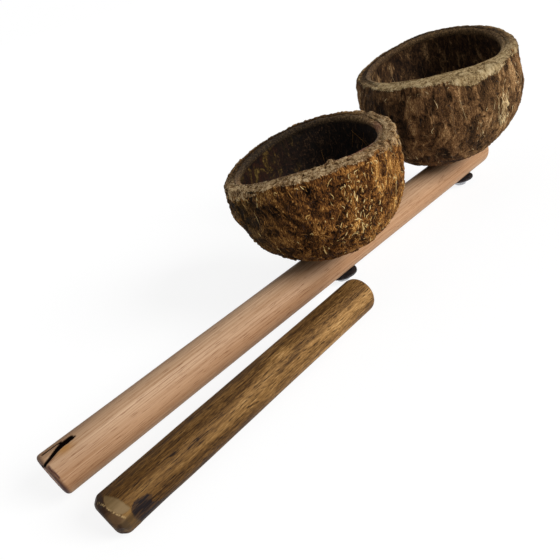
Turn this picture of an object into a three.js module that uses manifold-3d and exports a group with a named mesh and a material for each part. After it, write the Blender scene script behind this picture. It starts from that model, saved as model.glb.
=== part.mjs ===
// A two-cup coconut-shell percussion instrument and its beater, in millimetres, +Z up.
// A round stick along +X carries two cut coconut shells, open side up. Each shell is clamped by a bolt with
// a washer inside the cup, and a wide washer and a nut under the stick. The beater lies beside the stick.
// The origin is the middle of the near nut's underside, on the surface that both nuts stand on.
import * as THREE from "three";
import { mergeVertices } from "three/addons/utils/BufferGeometryUtils.js";
import Module from "manifold-3d";

const wasm = await Module();
wasm.setup();

const degree = Math.PI / 180;
const fullTurn = 2 * Math.PI;

// Handle stick
const stickDiameter = 28;
const stickLength = 476;
const handleEndRound = 2.6;
const handleEndSlantShares = { across: 0.05, up: -0.12 };
const farEndRound = 6;
const nearBoltFromHandleEnd = 256;
const farBoltFromNearBolt = 182;

// Bolts, washers and nuts
const boltDiameter = 6;
const boltEndBevel = 0.6;
const boltHeadFlats = 10;
const boltHeadHeight = 4;
const nutFlats = 10;
const nutHeight = 5;
const cornerBevel = 0.7;
const innerWasherDiameter = 18;
const innerWasherThickness = 1.6;
const outerWasherDiameter = 24;
const outerWasherThickness = 1.6;

// Fits
const boltClearance = 0.3;
const threadClearance = 0.15;
const faceGap = 0.1;
const saddleClearance = 0.3;

// Beater
const beaterDiameter = 25.6;
const beaterLength = 224.5;
const beaterFarRound = 5;
const beaterNearRound = 6.2;
const beaterEndSlantShares = { across: 0.11, up: -0.17 };
const whittledLength = 4.8;
const whittledDepth = 3.8;
const whittledFacets = 9;
const beaterFromStickAxis = 49.4;
const beaterBehindHandleEnd = 2.5;
const beaterYaw = 1.5 * degree;

// Coconut cups: heights are above the pole, which lies close to the bolt. The fullness is the exponent of the
// outline (2 is an ellipse). The rim is a sawn edge that tilts (once round) and waves (twice round), and the
// hollow inside is a little off the middle. The husk stands out in sets of broad lumps, so many around and so
// many half waves up, each set with one lump at its bearing and its share of the way up.
const nearCup = {
  radius: 66.8,
  height: 75,
  widestHeight: 57.6,
  closingHeight: 74.7,
  fullness: 2.4,
  poleWall: 9,
  rimWall: 13.2,
  rimBevel: 2.5,
  rimTilt: 2.1,
  rimTiltBearing: -68 * degree,
  rimWave: 3.6,
  rimWaveBearing: 40 * degree,
  ovalShare: 0.033,
  ovalBearing: 34 * degree,
  threeSidedShare: 0.028,
  threeSidedBearing: -5 * degree,
  lumps: [
    { height: 0.8, around: 4, up: 2, bearing: -60 * degree, climbShare: 0.62 },
    { height: 0.6, around: 7, up: 3, bearing: -105 * degree, climbShare: 0.8 },
    { height: 0.4, around: 10, up: 5, bearing: -38 * degree, climbShare: 0.7 },
  ],
  poleAlong: -0.3,
  poleAcross: -0.6,
  boreAlong: 0.6,
  boreAcross: 1.4,
  leanAcross: 0.1 * degree,
  leanToHandle: 2.4 * degree,
  saddleDepth: 1.2,
  segments: 56,
};
const farCup = {
  radius: 70.6,
  height: 89.4,
  widestHeight: 60,
  closingHeight: 75.5,
  fullness: 2.2,
  poleWall: 10,
  rimWall: 12.5,
  rimBevel: 3,
  rimTilt: 4.5,
  rimTiltBearing: 113 * degree,
  rimWave: 3.1,
  rimWaveBearing: 22 * degree,
  ovalShare: 0.037,
  ovalBearing: 1 * degree,
  threeSidedShare: 0.016,
  threeSidedBearing: -24 * degree,
  lumps: [
    { height: 0.6, around: 5, up: 2, bearing: -70 * degree, climbShare: 0.5 },
    { height: 0.5, around: 8, up: 4, bearing: -30 * degree, climbShare: 0.75 },
    { height: 0.35, around: 11, up: 5, bearing: -120 * degree, climbShare: 0.6 },
  ],
  poleAlong: -2,
  poleAcross: 1.9,
  boreAlong: 2,
  boreAcross: 1.5,
  leanAcross: 1 * degree,
  leanToHandle: 7.4 * degree,
  saddleDepth: 2.5,
  segments: 64,
};

// The lumps grow from nothing at the pole to their full height at this share of the way up
const lumpsFullShare = 0.4;

// How finely round surfaces are divided
const huskRings = 17;
const hollowRings = 12;
const stickSegments = 48;
const fastenerSegments = 24;
const roundSteps = 5;
const seatSamples = 60;

// Levels above the surface that the nuts stand on
const outerWasherLevel = nutHeight + faceGap;
const stickBottom = outerWasherLevel + outerWasherThickness + faceGap;
const stickAxis = stickBottom + stickDiameter / 2;
const stickTop = stickBottom + stickDiameter;
const holeRadius = boltDiameter / 2 + boltClearance;

// The largest size of all cuts' tools, so that every cut runs out of what it cuts
const overrun = stickLength;

const stickWood = new THREE.MeshStandardMaterial({ color: "#b48a6b", roughness: 0.62, metalness: 0 });
const beaterWood = new THREE.MeshStandardMaterial({ color: "#6b5230", roughness: 0.55, metalness: 0 });
const nearHusk = new THREE.MeshStandardMaterial({ color: "#6a4a2a", roughness: 0.9, metalness: 0 });
const farHusk = new THREE.MeshStandardMaterial({ color: "#5f4a33", roughness: 0.9, metalness: 0 });
const zincSteel = new THREE.MeshStandardMaterial({ color: "#b9bbbd", roughness: 0.35, metalness: 1 });
const darkSteel = new THREE.MeshStandardMaterial({ color: "#2c2a2c", roughness: 0.5, metalness: 0.8 });

// Makes a solid of a closed three.js geometry, for cutting and joining.
function solidOf(geometry) {
  const bare = geometry.clone();
  bare.deleteAttribute("normal");
  bare.deleteAttribute("uv");
  const merged = mergeVertices(bare);
  const corners = merged.index.array;
  const triangles = [];
  for (let k = 0; k < corners.length; k += 3) {
    const [a, b, c] = corners.slice(k, k + 3);
    if (a !== b && b !== c && c !== a) triangles.push(a, b, c);
  }
  return new wasm.Manifold(
    new wasm.Mesh({
      numProp: 3,
      vertProperties: merged.attributes.position.array,
      triVerts: new Uint32Array(triangles),
    }),
  );
}

// Turns a solid back into a three.js geometry with flat faces.
function geometryOf(solid) {
  const mesh = solid.getMesh();
  const geometry = new THREE.BufferGeometry();
  geometry.setAttribute("position", new THREE.BufferAttribute(mesh.vertProperties, mesh.numProp));
  geometry.setIndex(new THREE.BufferAttribute(mesh.triVerts, 1));
  const flat = geometry.toNonIndexed();
  flat.computeVertexNormals();
  return flat;
}

function cut(geometry, ...tools) {
  return geometryOf(tools.reduce((solid, tool) => solid.subtract(solidOf(tool)), solidOf(geometry)));
}

function named(name, geometry, material) {
  const mesh = new THREE.Mesh(geometry, material);
  mesh.name = name;
  return mesh;
}

// A vertical round bar on the Z axis between two levels.
function uprightBar(radius, bottom, top, segments) {
  const bar = new THREE.CylinderGeometry(radius, radius, top - bottom, segments);
  return bar.rotateX(Math.PI / 2).translate(0, 0, (top + bottom) / 2);
}

// Turns a lathe's axis from Y to Z.
function uprightLathe(outline, segments) {
  return new THREE.LatheGeometry(outline, segments).rotateX(Math.PI / 2);
}

// Points of a quarter circle that rounds a corner, from one end of the arc to the other.
function cornerArc(centreRadius, centreHeight, radius, fromAngle, toAngle) {
  const points = [];
  for (let step = 0; step <= roundSteps; step++) {
    const angle = fromAngle + ((toAngle - fromAngle) * step) / roundSteps;
    points.push(
      new THREE.Vector2(centreRadius + radius * Math.cos(angle), centreHeight + radius * Math.sin(angle)),
    );
  }
  return points;
}

// The outer radius of a cup at a height above its pole, before it goes oval.
function outerRadius(cup, height) {
  const rise =
    height < cup.widestHeight
      ? (cup.widestHeight - height) / cup.widestHeight
      : (height - cup.widestHeight) / cup.closingHeight;
  return cup.radius * (1 - rise ** cup.fullness) ** (1 / cup.fullness);
}

// The inner radius of a cup at a height above its outer pole.
function innerRadius(cup, height) {
  if (height > cup.widestHeight) return outerRadius(cup, height) - cup.rimWall;
  const rise = (cup.widestHeight - height) / (cup.widestHeight - cup.poleWall);
  return (cup.radius - cup.rimWall) * (1 - rise ** cup.fullness) ** (1 / cup.fullness);
}

function unevenShare(cup, bearing) {
  return (
    1 +
    cup.ovalShare * Math.cos(2 * (bearing - cup.ovalBearing)) +
    cup.threeSidedShare * Math.cos(3 * (bearing - cup.threeSidedBearing))
  );
}

function rimHeight(cup, bearing) {
  return (
    cup.height +
    cup.rimTilt * Math.cos(bearing - cup.rimTiltBearing) +
    cup.rimWave * Math.cos(2 * (bearing - cup.rimWaveBearing))
  );
}

// How far the husk's lumps stand out at a bearing and a share of the way up.
function lumpsOut(cup, bearing, share) {
  let out = 0;
  for (const lump of cup.lumps) {
    const side = Math.cos(lump.around * (bearing - lump.bearing));
    out += lump.height * side * Math.cos(lump.up * Math.PI * (share - lump.climbShare));
  }
  return out * Math.min(share / lumpsFullShare, 1) ** 2;
}

// A point of the outer surface, at a share of the way from the pole up to the rim's bevel.
function outerPoint(cup, bearing, share) {
  const height = (rimHeight(cup, bearing) - cup.rimBevel) * share;
  const radius = outerRadius(cup, height) * unevenShare(cup, bearing) + lumpsOut(cup, bearing, share);
  return new THREE.Vector3(radius * Math.cos(bearing), radius * Math.sin(bearing), height);
}

// A point of the inner surface, at a share of the way from the inner pole up to the rim's bevel.
function innerPoint(cup, bearing, share) {
  const top = rimHeight(cup, bearing) - cup.rimBevel;
  const height = cup.poleWall + (top - cup.poleWall) * share;
  const radius = innerRadius(cup, height) * unevenShare(cup, bearing);
  return new THREE.Vector3(
    radius * Math.cos(bearing) + cup.boreAlong * share,
    radius * Math.sin(bearing) + cup.boreAcross * share,
    height,
  );
}

// A point of the sawn rim, moved in or out from the wall's own edge by the bevel.
function rimEdge(cup, point, bearing, inward) {
  const edge = point.clone();
  edge.x -= inward * cup.rimBevel * Math.cos(bearing);
  edge.y -= inward * cup.rimBevel * Math.sin(bearing);
  edge.z = rimHeight(cup, bearing);
  return edge;
}

// The turn and lift that lean a cup on its pole and bed it in the stick by its saddle's depth.
function cupPlacing(cup) {
  const lean = new THREE.Matrix4()
    .makeRotationY(-cup.leanToHandle)
    .multiply(new THREE.Matrix4().makeRotationX(cup.leanAcross));
  let lowest = 0;
  for (let ring = 0; ring <= seatSamples; ring++) {
    for (let side = 0; side < cup.segments; side++) {
      const point = outerPoint(cup, (side / cup.segments) * fullTurn, (ring / seatSamples) ** 2);
      lowest = Math.min(lowest, point.applyMatrix4(lean).z);
    }
  }
  return new THREE.Matrix4()
    .makeTranslation(cup.poleAlong, cup.poleAcross, stickTop - cup.saddleDepth - lowest)
    .multiply(lean);
}

// The lowest and highest level of the cup's floor under the inner washer.
function washerSeat(cup, placing) {
  const reach = innerWasherDiameter / 2 + boltClearance;
  const levels = [];
  for (let ring = 0; ring <= seatSamples; ring++) {
    for (let side = 0; side < cup.segments; side++) {
      const point = innerPoint(cup, (side / cup.segments) * fullTurn, (ring / seatSamples) ** 2);
      point.applyMatrix4(placing);
      if (Math.hypot(point.x, point.y) <= reach) levels.push(point.z);
    }
  }
  return { reach, bottom: Math.min(...levels), top: Math.max(...levels) };
}

// The shell's wall as one closed skin: up the outside, over the rim and down the inside.
function shellSkin(cup) {
  const rows = [];
  for (let ring = 0; ring <= huskRings; ring++) {
    rows.push((bearing) => outerPoint(cup, bearing, (ring / huskRings) ** 2));
  }
  rows.push((bearing) => rimEdge(cup, outerPoint(cup, bearing, 1), bearing, 1));
  rows.push((bearing) => rimEdge(cup, innerPoint(cup, bearing, 1), bearing, -1));
  for (let ring = hollowRings; ring >= 0; ring--) {
    rows.push((bearing) => innerPoint(cup, bearing, (ring / hollowRings) ** 2));
  }
  const outline = rows.map((row) => new THREE.Vector2(row(0).x, row(0).z));
  const skin = new THREE.LatheGeometry(outline, cup.segments);
  const places = skin.attributes.position;
  for (let vertex = 0; vertex < places.count; vertex++) {
    const side = Math.floor(vertex / rows.length) % cup.segments;
    const place = rows[vertex % rows.length]((side / cup.segments) * fullTurn);
    places.setXYZ(vertex, place.x, place.y, place.z);
  }
  return skin;
}

// A cup with its bolt hole, the saddle that beds on the stick, and the flat under the inner washer.
function shell(cup, placing, seat) {
  const hole = uprightBar(holeRadius, -overrun, overrun, fastenerSegments);
  const saddle = new THREE.CylinderGeometry(
    stickDiameter / 2 + saddleClearance,
    stickDiameter / 2 + saddleClearance,
    overrun,
    stickSegments,
  )
    .rotateZ(Math.PI / 2)
    .translate(0, 0, stickAxis);
  const flat = uprightBar(seat.reach, seat.bottom, seat.top + innerWasherThickness, fastenerSegments);
  return cut(shellSkin(cup).applyMatrix4(placing), hole, saddle, flat);
}

function washer(diameter, thickness, bottom) {
  const outline = [
    new THREE.Vector2(holeRadius, 0),
    new THREE.Vector2(diameter / 2, 0),
    new THREE.Vector2(diameter / 2, thickness),
    new THREE.Vector2(holeRadius, thickness),
    new THREE.Vector2(holeRadius, 0),
  ];
  return uprightLathe(outline, fastenerSegments).translate(0, 0, bottom);
}

// A hexagon block with its corners turned off at the ends that are chosen.
function hexagonBlock(flats, height, bottom, bevelTop, bevelBottom) {
  const corner = flats / Math.sqrt(3);
  const hexagon = new THREE.Shape();
  for (let side = 0; side < 6; side++) {
    const angle = (side * fullTurn) / 6;
    const place = [corner * Math.cos(angle), corner * Math.sin(angle)];
    if (side === 0) hexagon.moveTo(...place);
    else hexagon.lineTo(...place);
  }
  const block = new THREE.ExtrudeGeometry(hexagon, { depth: height, bevelEnabled: false });
  const turnedRadius = corner / Math.cos(Math.PI / fastenerSegments);
  const turned = uprightLathe(
    [
      new THREE.Vector2(0, 0),
      new THREE.Vector2(bevelBottom ? flats / 2 : turnedRadius, 0),
      new THREE.Vector2(turnedRadius, bevelBottom ? cornerBevel : 0),
      new THREE.Vector2(turnedRadius, bevelTop ? height - cornerBevel : height),
      new THREE.Vector2(bevelTop ? flats / 2 : turnedRadius, height),
      new THREE.Vector2(0, height),
    ],
    fastenerSegments,
  );
  return solidOf(block.translate(0, 0, bottom)).intersect(solidOf(turned.translate(0, 0, bottom)));
}

function nut() {
  const bore = uprightBar(boltDiameter / 2 + threadClearance, -overrun, overrun, fastenerSegments);
  return cut(geometryOf(hexagonBlock(nutFlats, nutHeight, 0, true, true)), bore);
}

// A bolt from the nut's underside up to its head in the cup.
function bolt(headBottom) {
  const radius = boltDiameter / 2;
  const shank = uprightLathe(
    [
      new THREE.Vector2(0, 0),
      new THREE.Vector2(radius - boltEndBevel, 0),
      new THREE.Vector2(radius, boltEndBevel),
      new THREE.Vector2(radius, headBottom + boltHeadHeight / 2),
      new THREE.Vector2(0, headBottom + boltHeadHeight / 2),
    ],
    fastenerSegments,
  );
  const head = hexagonBlock(boltHeadFlats, boltHeadHeight, headBottom, true, false);
  return geometryOf(solidOf(shank).add(head));
}

// One cup with everything that clamps it to the stick, about its bolt's axis.
function cupAssembly(prefix, cup, husk) {
  const placing = cupPlacing(cup);
  const seat = washerSeat(cup, placing);
  const headBottom = seat.bottom + faceGap + innerWasherThickness + faceGap;
  const group = new THREE.Group();
  group.add(
    named(prefix + "_shell", shell(cup, placing, seat), husk),
    named(prefix + "_bolt", bolt(headBottom), zincSteel),
    named(
      prefix + "_inner_washer",
      washer(innerWasherDiameter, innerWasherThickness, seat.bottom + faceGap),
      zincSteel,
    ),
    named(
      prefix + "_outer_washer",
      washer(outerWasherDiameter, outerWasherThickness, outerWasherLevel),
      darkSteel,
    ),
    named(prefix + "_nut", nut(), zincSteel),
  );
  return group;
}

// A round stick along +X from zero, with both ends' edges rounded. Its near end is sawn on a slant, which lies
// further along by a share of each length towards +Y and up.
function roundedStick(radius, length, nearRound, farRound, slantShares) {
  const outline = [
    new THREE.Vector2(0, 0),
    ...cornerArc(radius - nearRound, nearRound, nearRound, -Math.PI / 2, 0),
    ...cornerArc(radius - farRound, length - farRound, farRound, 0, Math.PI / 2),
    new THREE.Vector2(0, length),
  ];
  const bar = new THREE.LatheGeometry(outline, stickSegments).rotateZ(-Math.PI / 2);
  const places = bar.attributes.position;
  for (let vertex = 0; vertex < places.count; vertex++) {
    if (places.getX(vertex) > length / 2) continue;
    const slant = slantShares.across * places.getY(vertex) + slantShares.up * places.getZ(vertex);
    places.setX(vertex, places.getX(vertex) + slant);
  }
  return bar;
}

// The stick, sawn at the handle end, rounded at the far end, and drilled for both bolts.
function handleStick() {
  const bar = roundedStick(
    stickDiameter / 2,
    stickLength,
    handleEndRound,
    farEndRound,
    handleEndSlantShares,
  ).translate(-nearBoltFromHandleEnd, 0, stickAxis);
  const nearHole = uprightBar(holeRadius, -overrun, overrun, fastenerSegments);
  const farHole = nearHole.clone().translate(farBoltFromNearBolt, 0, 0);
  return named("handle_stick", cut(bar, nearHole, farHole), stickWood);
}

// The beater, rounded at both ends. The near end's rounding is whittled with a knife in short facets.
function beater() {
  const radius = beaterDiameter / 2;
  const bar = roundedStick(radius, beaterLength, beaterNearRound, beaterFarRound, beaterEndSlantShares);
  const knifeAngle = Math.atan2(whittledDepth, whittledLength);
  const knives = [];
  for (let facet = 0; facet < whittledFacets; facet++) {
    const bearing = (facet * fullTurn) / whittledFacets;
    const slantShare =
      beaterEndSlantShares.up * Math.cos(bearing) - beaterEndSlantShares.across * Math.sin(bearing);
    knives.push(
      new THREE.BoxGeometry(overrun, overrun, beaterDiameter)
        .translate(0, 0, beaterDiameter / 2)
        .rotateY(-knifeAngle)
        .translate(radius * slantShare, 0, radius - whittledDepth)
        .rotateX(bearing),
    );
  }
  const stick = named("beater", cut(bar, ...knives), beaterWood);
  stick.position.set(beaterBehindHandleEnd - nearBoltFromHandleEnd, -beaterFromStickAxis, radius);
  stick.rotation.z = beaterYaw;
  return stick;
}

const farAssembly = cupAssembly("far", farCup, farHusk);
farAssembly.position.x = farBoltFromNearBolt;

const instrument = new THREE.Group();
instrument.add(handleStick(), cupAssembly("near", nearCup, nearHusk), farAssembly);

const group = new THREE.Group();
group.add(instrument, beater());

export default group;
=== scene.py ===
"""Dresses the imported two-cup coconut-shell instrument and its beater.

Sizes are in millimetres until a mesh is made, and angles are in degrees where a name ends in _deg. A bearing
about a cup's axis is counted from +X towards +Y. A bearing about a stick is counted from the top towards +Y.
"""

import logging
import math
from collections.abc import Callable, Sequence
from dataclasses import dataclass, field
from enum import Enum
from functools import cached_property

import bmesh
import bpy
import numpy as np
from mathutils import Matrix, Vector


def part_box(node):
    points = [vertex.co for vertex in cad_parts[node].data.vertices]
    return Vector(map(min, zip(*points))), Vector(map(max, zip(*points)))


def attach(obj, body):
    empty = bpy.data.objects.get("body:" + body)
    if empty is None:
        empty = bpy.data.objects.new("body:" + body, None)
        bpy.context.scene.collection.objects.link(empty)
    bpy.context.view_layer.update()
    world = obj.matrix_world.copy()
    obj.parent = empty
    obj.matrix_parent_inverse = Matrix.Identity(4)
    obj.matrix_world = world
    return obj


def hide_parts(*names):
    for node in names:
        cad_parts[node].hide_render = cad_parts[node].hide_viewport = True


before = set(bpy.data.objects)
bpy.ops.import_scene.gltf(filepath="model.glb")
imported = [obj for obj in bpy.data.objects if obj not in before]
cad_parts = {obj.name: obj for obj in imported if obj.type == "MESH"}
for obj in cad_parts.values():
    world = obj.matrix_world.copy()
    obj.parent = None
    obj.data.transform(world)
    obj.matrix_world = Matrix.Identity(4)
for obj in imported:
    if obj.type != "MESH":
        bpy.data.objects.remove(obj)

log = logging.getLogger("coconut_cups")

MM = 0.001
FULL_TURN = 2.0 * math.pi
WELD = 1e-6

# The stick's radius and the height of its axis, the cups' play round it, and the far bolt's place, in mm
STICK_RADIUS = 14.0
STICK_AXIS = 20.8
SADDLE_CLEARANCE = 0.3
FAR_BOLT = 182.0

Array = np.ndarray
Triple = tuple[float, float, float]
Tint = Triple
Pair = tuple[float, float]
Marks = tuple[Pair, ...]
Piece = bpy.types.Object
Material = bpy.types.Material
Socket = bpy.types.NodeSocket
Feed = Socket | float | Sequence[float]


class Body(Enum):
    """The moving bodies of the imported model."""

    INSTRUMENT = "instrument"
    BEATER = "beater"


class Slot(Enum):
    """The record's material slots."""

    STICK = "stick_wood"
    NEAR_HUSK = "near_husk"
    FAR_HUSK = "far_husk"
    BEATER = "beater_wood"
    ZINC = "zinc_steel"
    DARK_STEEL = "dark_steel"


class Wall(Enum):
    """The two faces of a cup's wall."""

    OUTER = "outer"
    INNER = "inner"


# Number helpers


def smooth_step(low: float, high: float, value: Array) -> Array:
    """Rises smoothly from 0 at low to 1 at high."""
    share = np.clip((value - low) / (high - low), 0.0, 1.0)
    return share * share * (3.0 - 2.0 * share)


def away_from(bearing: Array, middle_deg: float) -> Array:
    """How far bearings lie from one bearing, in radians and at most half a turn either way."""
    return (bearing - math.radians(middle_deg) + math.pi) % FULL_TURN - math.pi


def lobe(bearing: Array, middle_deg: float, width_deg: float) -> Array:
    """A soft hump round one bearing, 1 at its middle."""
    return np.exp(-((away_from(bearing, middle_deg) / math.radians(width_deg)) ** 2))


def distance_to_line(across: Array, along: Array, line: Sequence[Sequence[float]]) -> tuple[Array, Array]:
    """Measures how far points lie from a bent line.

    Args:
        across: the points' first coordinate.
        along: the points' second coordinate.
        line: the corners of the line, each with a first and a second coordinate.

    Returns:
        The distance to the line, and the place along it as corners counted from the first.
    """
    nearest = np.full(across.shape, np.inf)
    place = np.zeros(across.shape)
    for index, (start, end) in enumerate(zip(line, line[1:])):
        step = np.subtract(end, start)
        reach = ((across - start[0]) * step[0] + (along - start[1]) * step[1]) / float(step @ step)
        reach = np.clip(reach, 0.0, 1.0)
        gap = np.hypot(across - start[0] - reach * step[0], along - start[1] - reach * step[1])
        place = np.where(gap < nearest, index + reach, place)
        nearest = np.minimum(gap, nearest)
    return nearest, place


def inside(across: Array, along: Array, corners: Sequence[Sequence[float]], softness: float) -> Array:
    """Tells how far inside an outline points lie.

    Args:
        across: the points' first coordinate.
        along: the points' second coordinate.
        corners: the outline's corners in order.
        softness: the width over which the answer changes.

    Returns:
        1 well inside the outline, 0 well outside it.
    """
    closed = [*corners, corners[0]]
    gap, _ = distance_to_line(across, along, closed)
    within = np.zeros(across.shape, bool)
    for (x0, y0), (x1, y1) in zip(closed, closed[1:]):
        crosses = (y0 > along) != (y1 > along)
        rise = y1 - y0 if y1 != y0 else WELD
        within ^= crosses & (across < (x1 - x0) * (along - y0) / rise + x0)
    return smooth_step(-softness, softness, np.where(within, gap, -gap))


@dataclass(frozen=True)
class Grain:
    """Seeded smooth noise from -1 to 1 over a full turn of bearings and a share from 0 to 1."""

    around: int
    along: int
    seed: int

    @cached_property
    def lattice(self) -> Array:
        """The noise at the corners of its cells."""
        return np.random.default_rng(self.seed).uniform(-1.0, 1.0, (self.around, self.along + 2))

    def at(self, bearing: Array, share: Array) -> Array:
        """Reads the noise.

        Args:
            bearing: angles in radians.
            share: how far along, from 0 to 1.

        Returns:
            The noise at each point.
        """
        turn = (bearing / FULL_TURN % 1.0) * self.around
        climb = np.clip(share, 0.0, 1.0) * self.along
        column = np.floor(turn).astype(int)
        level = np.floor(climb).astype(int)
        side = smooth_step(0.0, 1.0, turn - column)
        rise = smooth_step(0.0, 1.0, climb - level)
        here = column % self.around
        beyond = (column + 1) % self.around
        lower = self.lattice[here, level] * (1.0 - side) + self.lattice[beyond, level] * side
        upper = self.lattice[here, level + 1] * (1.0 - side) + self.lattice[beyond, level + 1] * side
        return lower * (1.0 - rise) + upper * rise


# Skins


@dataclass
class Spots:
    """The points of one row of a skin, and what the finish reads there.

    places holds x, y and z in mm. flow holds a place in mm that runs with the fibres. masks holds named
    shares from 0 to 1.
    """

    places: Array
    flow: Array
    masks: dict[str, Array] = field(default_factory=dict)


Row = Callable[[Array], Spots]
Rule = Callable[[Array], Array]


def turned_skin(name: str, rows: Sequence[Row], steps: int, closed: bool) -> Piece:
    """Bends a grid into a skin about an axis, each row of its points laid where the row says.

    Args:
        name: the piece's name.
        rows: the rows in order along the skin.
        steps: how many points a row has.
        closed: whether the last row joins the first.

    Returns:
        The piece, with its place in its mesh.
    """
    levels = len(rows) if closed else len(rows) - 1
    form = bmesh.new()
    bmesh.ops.create_grid(form, x_segments=steps, y_segments=levels, size=1.0)
    mesh = bpy.data.meshes.new(name)
    form.to_mesh(mesh)
    form.free()
    sheet = np.empty(3 * len(mesh.vertices))
    mesh.vertices.foreach_get("co", sheet)
    sheet = (sheet.reshape(-1, 3) + 1.0) / 2.0
    column = np.rint(sheet[:, 0] * steps).astype(int) % steps
    level = np.rint(sheet[:, 1] * levels).astype(int) % len(rows)
    bearings = np.arange(steps) * FULL_TURN / steps
    lines = [row(bearings) for row in rows]
    places = np.stack([line.places for line in lines])[level, column]
    flow = np.stack([line.flow for line in lines])[level, column]
    mesh.vertices.foreach_set("co", (places * MM).ravel())
    mesh.attributes.new("flow", "FLOAT_VECTOR", "POINT").data.foreach_set("vector", flow.ravel())
    blank = np.zeros(steps)
    for key in sorted({key for line in lines for key in line.masks}):
        values = np.stack([line.masks.get(key, blank) for line in lines])[level, column]
        mesh.attributes.new(key, "FLOAT", "POINT").data.foreach_set("value", values)
    return closed_piece(name, mesh)


def closed_piece(name: str, mesh: bpy.types.Mesh) -> Piece:
    """Welds a mesh, turns its faces outwards and makes it an object.

    Args:
        name: the piece's name.
        mesh: its mesh.

    Returns:
        The piece, linked to the scene.
    """
    form = bmesh.new()
    form.from_mesh(mesh)
    bmesh.ops.remove_doubles(form, verts=form.verts, dist=WELD)
    bmesh.ops.dissolve_degenerate(form, edges=form.edges, dist=WELD)
    bmesh.ops.recalc_face_normals(form, faces=form.faces)
    form.to_mesh(mesh)
    form.free()
    mesh.shade_smooth()
    piece = bpy.data.objects.new(name, mesh)
    bpy.context.scene.collection.objects.link(piece)
    return piece


def polar(radius: Array | float, bearing: Array, height: Array | float) -> Array:
    """Places in mm from a radius, a bearing from +X and a height."""
    blank = np.zeros_like(bearing)
    return np.stack((radius * np.cos(bearing), radius * np.sin(bearing), height + blank), axis=-1)


def fit(piece: Piece, body: Body, slot: Slot, material: Material, *nodes: str) -> None:
    """Gives a finished piece its body and material, and hides the CAD nodes that it stands for.

    Args:
        piece: the finished piece.
        body: the body that it rides on.
        slot: not used.
        material: its material, unless its faces have several already.
        nodes: the CAD nodes that it replaces.
    """
    if not piece.data.materials:
        piece.data.materials.append(material)
    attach(piece, body.value)
    if nodes:
        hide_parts(*nodes)
    log.info("%s: %d faces on %s", piece.name, len(piece.data.polygons), body.value)


# Materials


def tint(red: float, green: float, blue: float) -> Tint:
    """A colour as a screen shows it, 0 to 255, turned into a material's own scale."""
    shares = (red / 255.0, green / 255.0, blue / 255.0)
    return tuple(s / 12.92 if s <= 0.04045 else ((s + 0.055) / 1.055) ** 2.4 for s in shares)


@dataclass(frozen=True)
class Ramp:
    """Colours at places from 0 to 1, each as (place, red, green, blue) as a screen shows it."""

    stops: tuple[tuple[float, float, float, float], ...]


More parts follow.
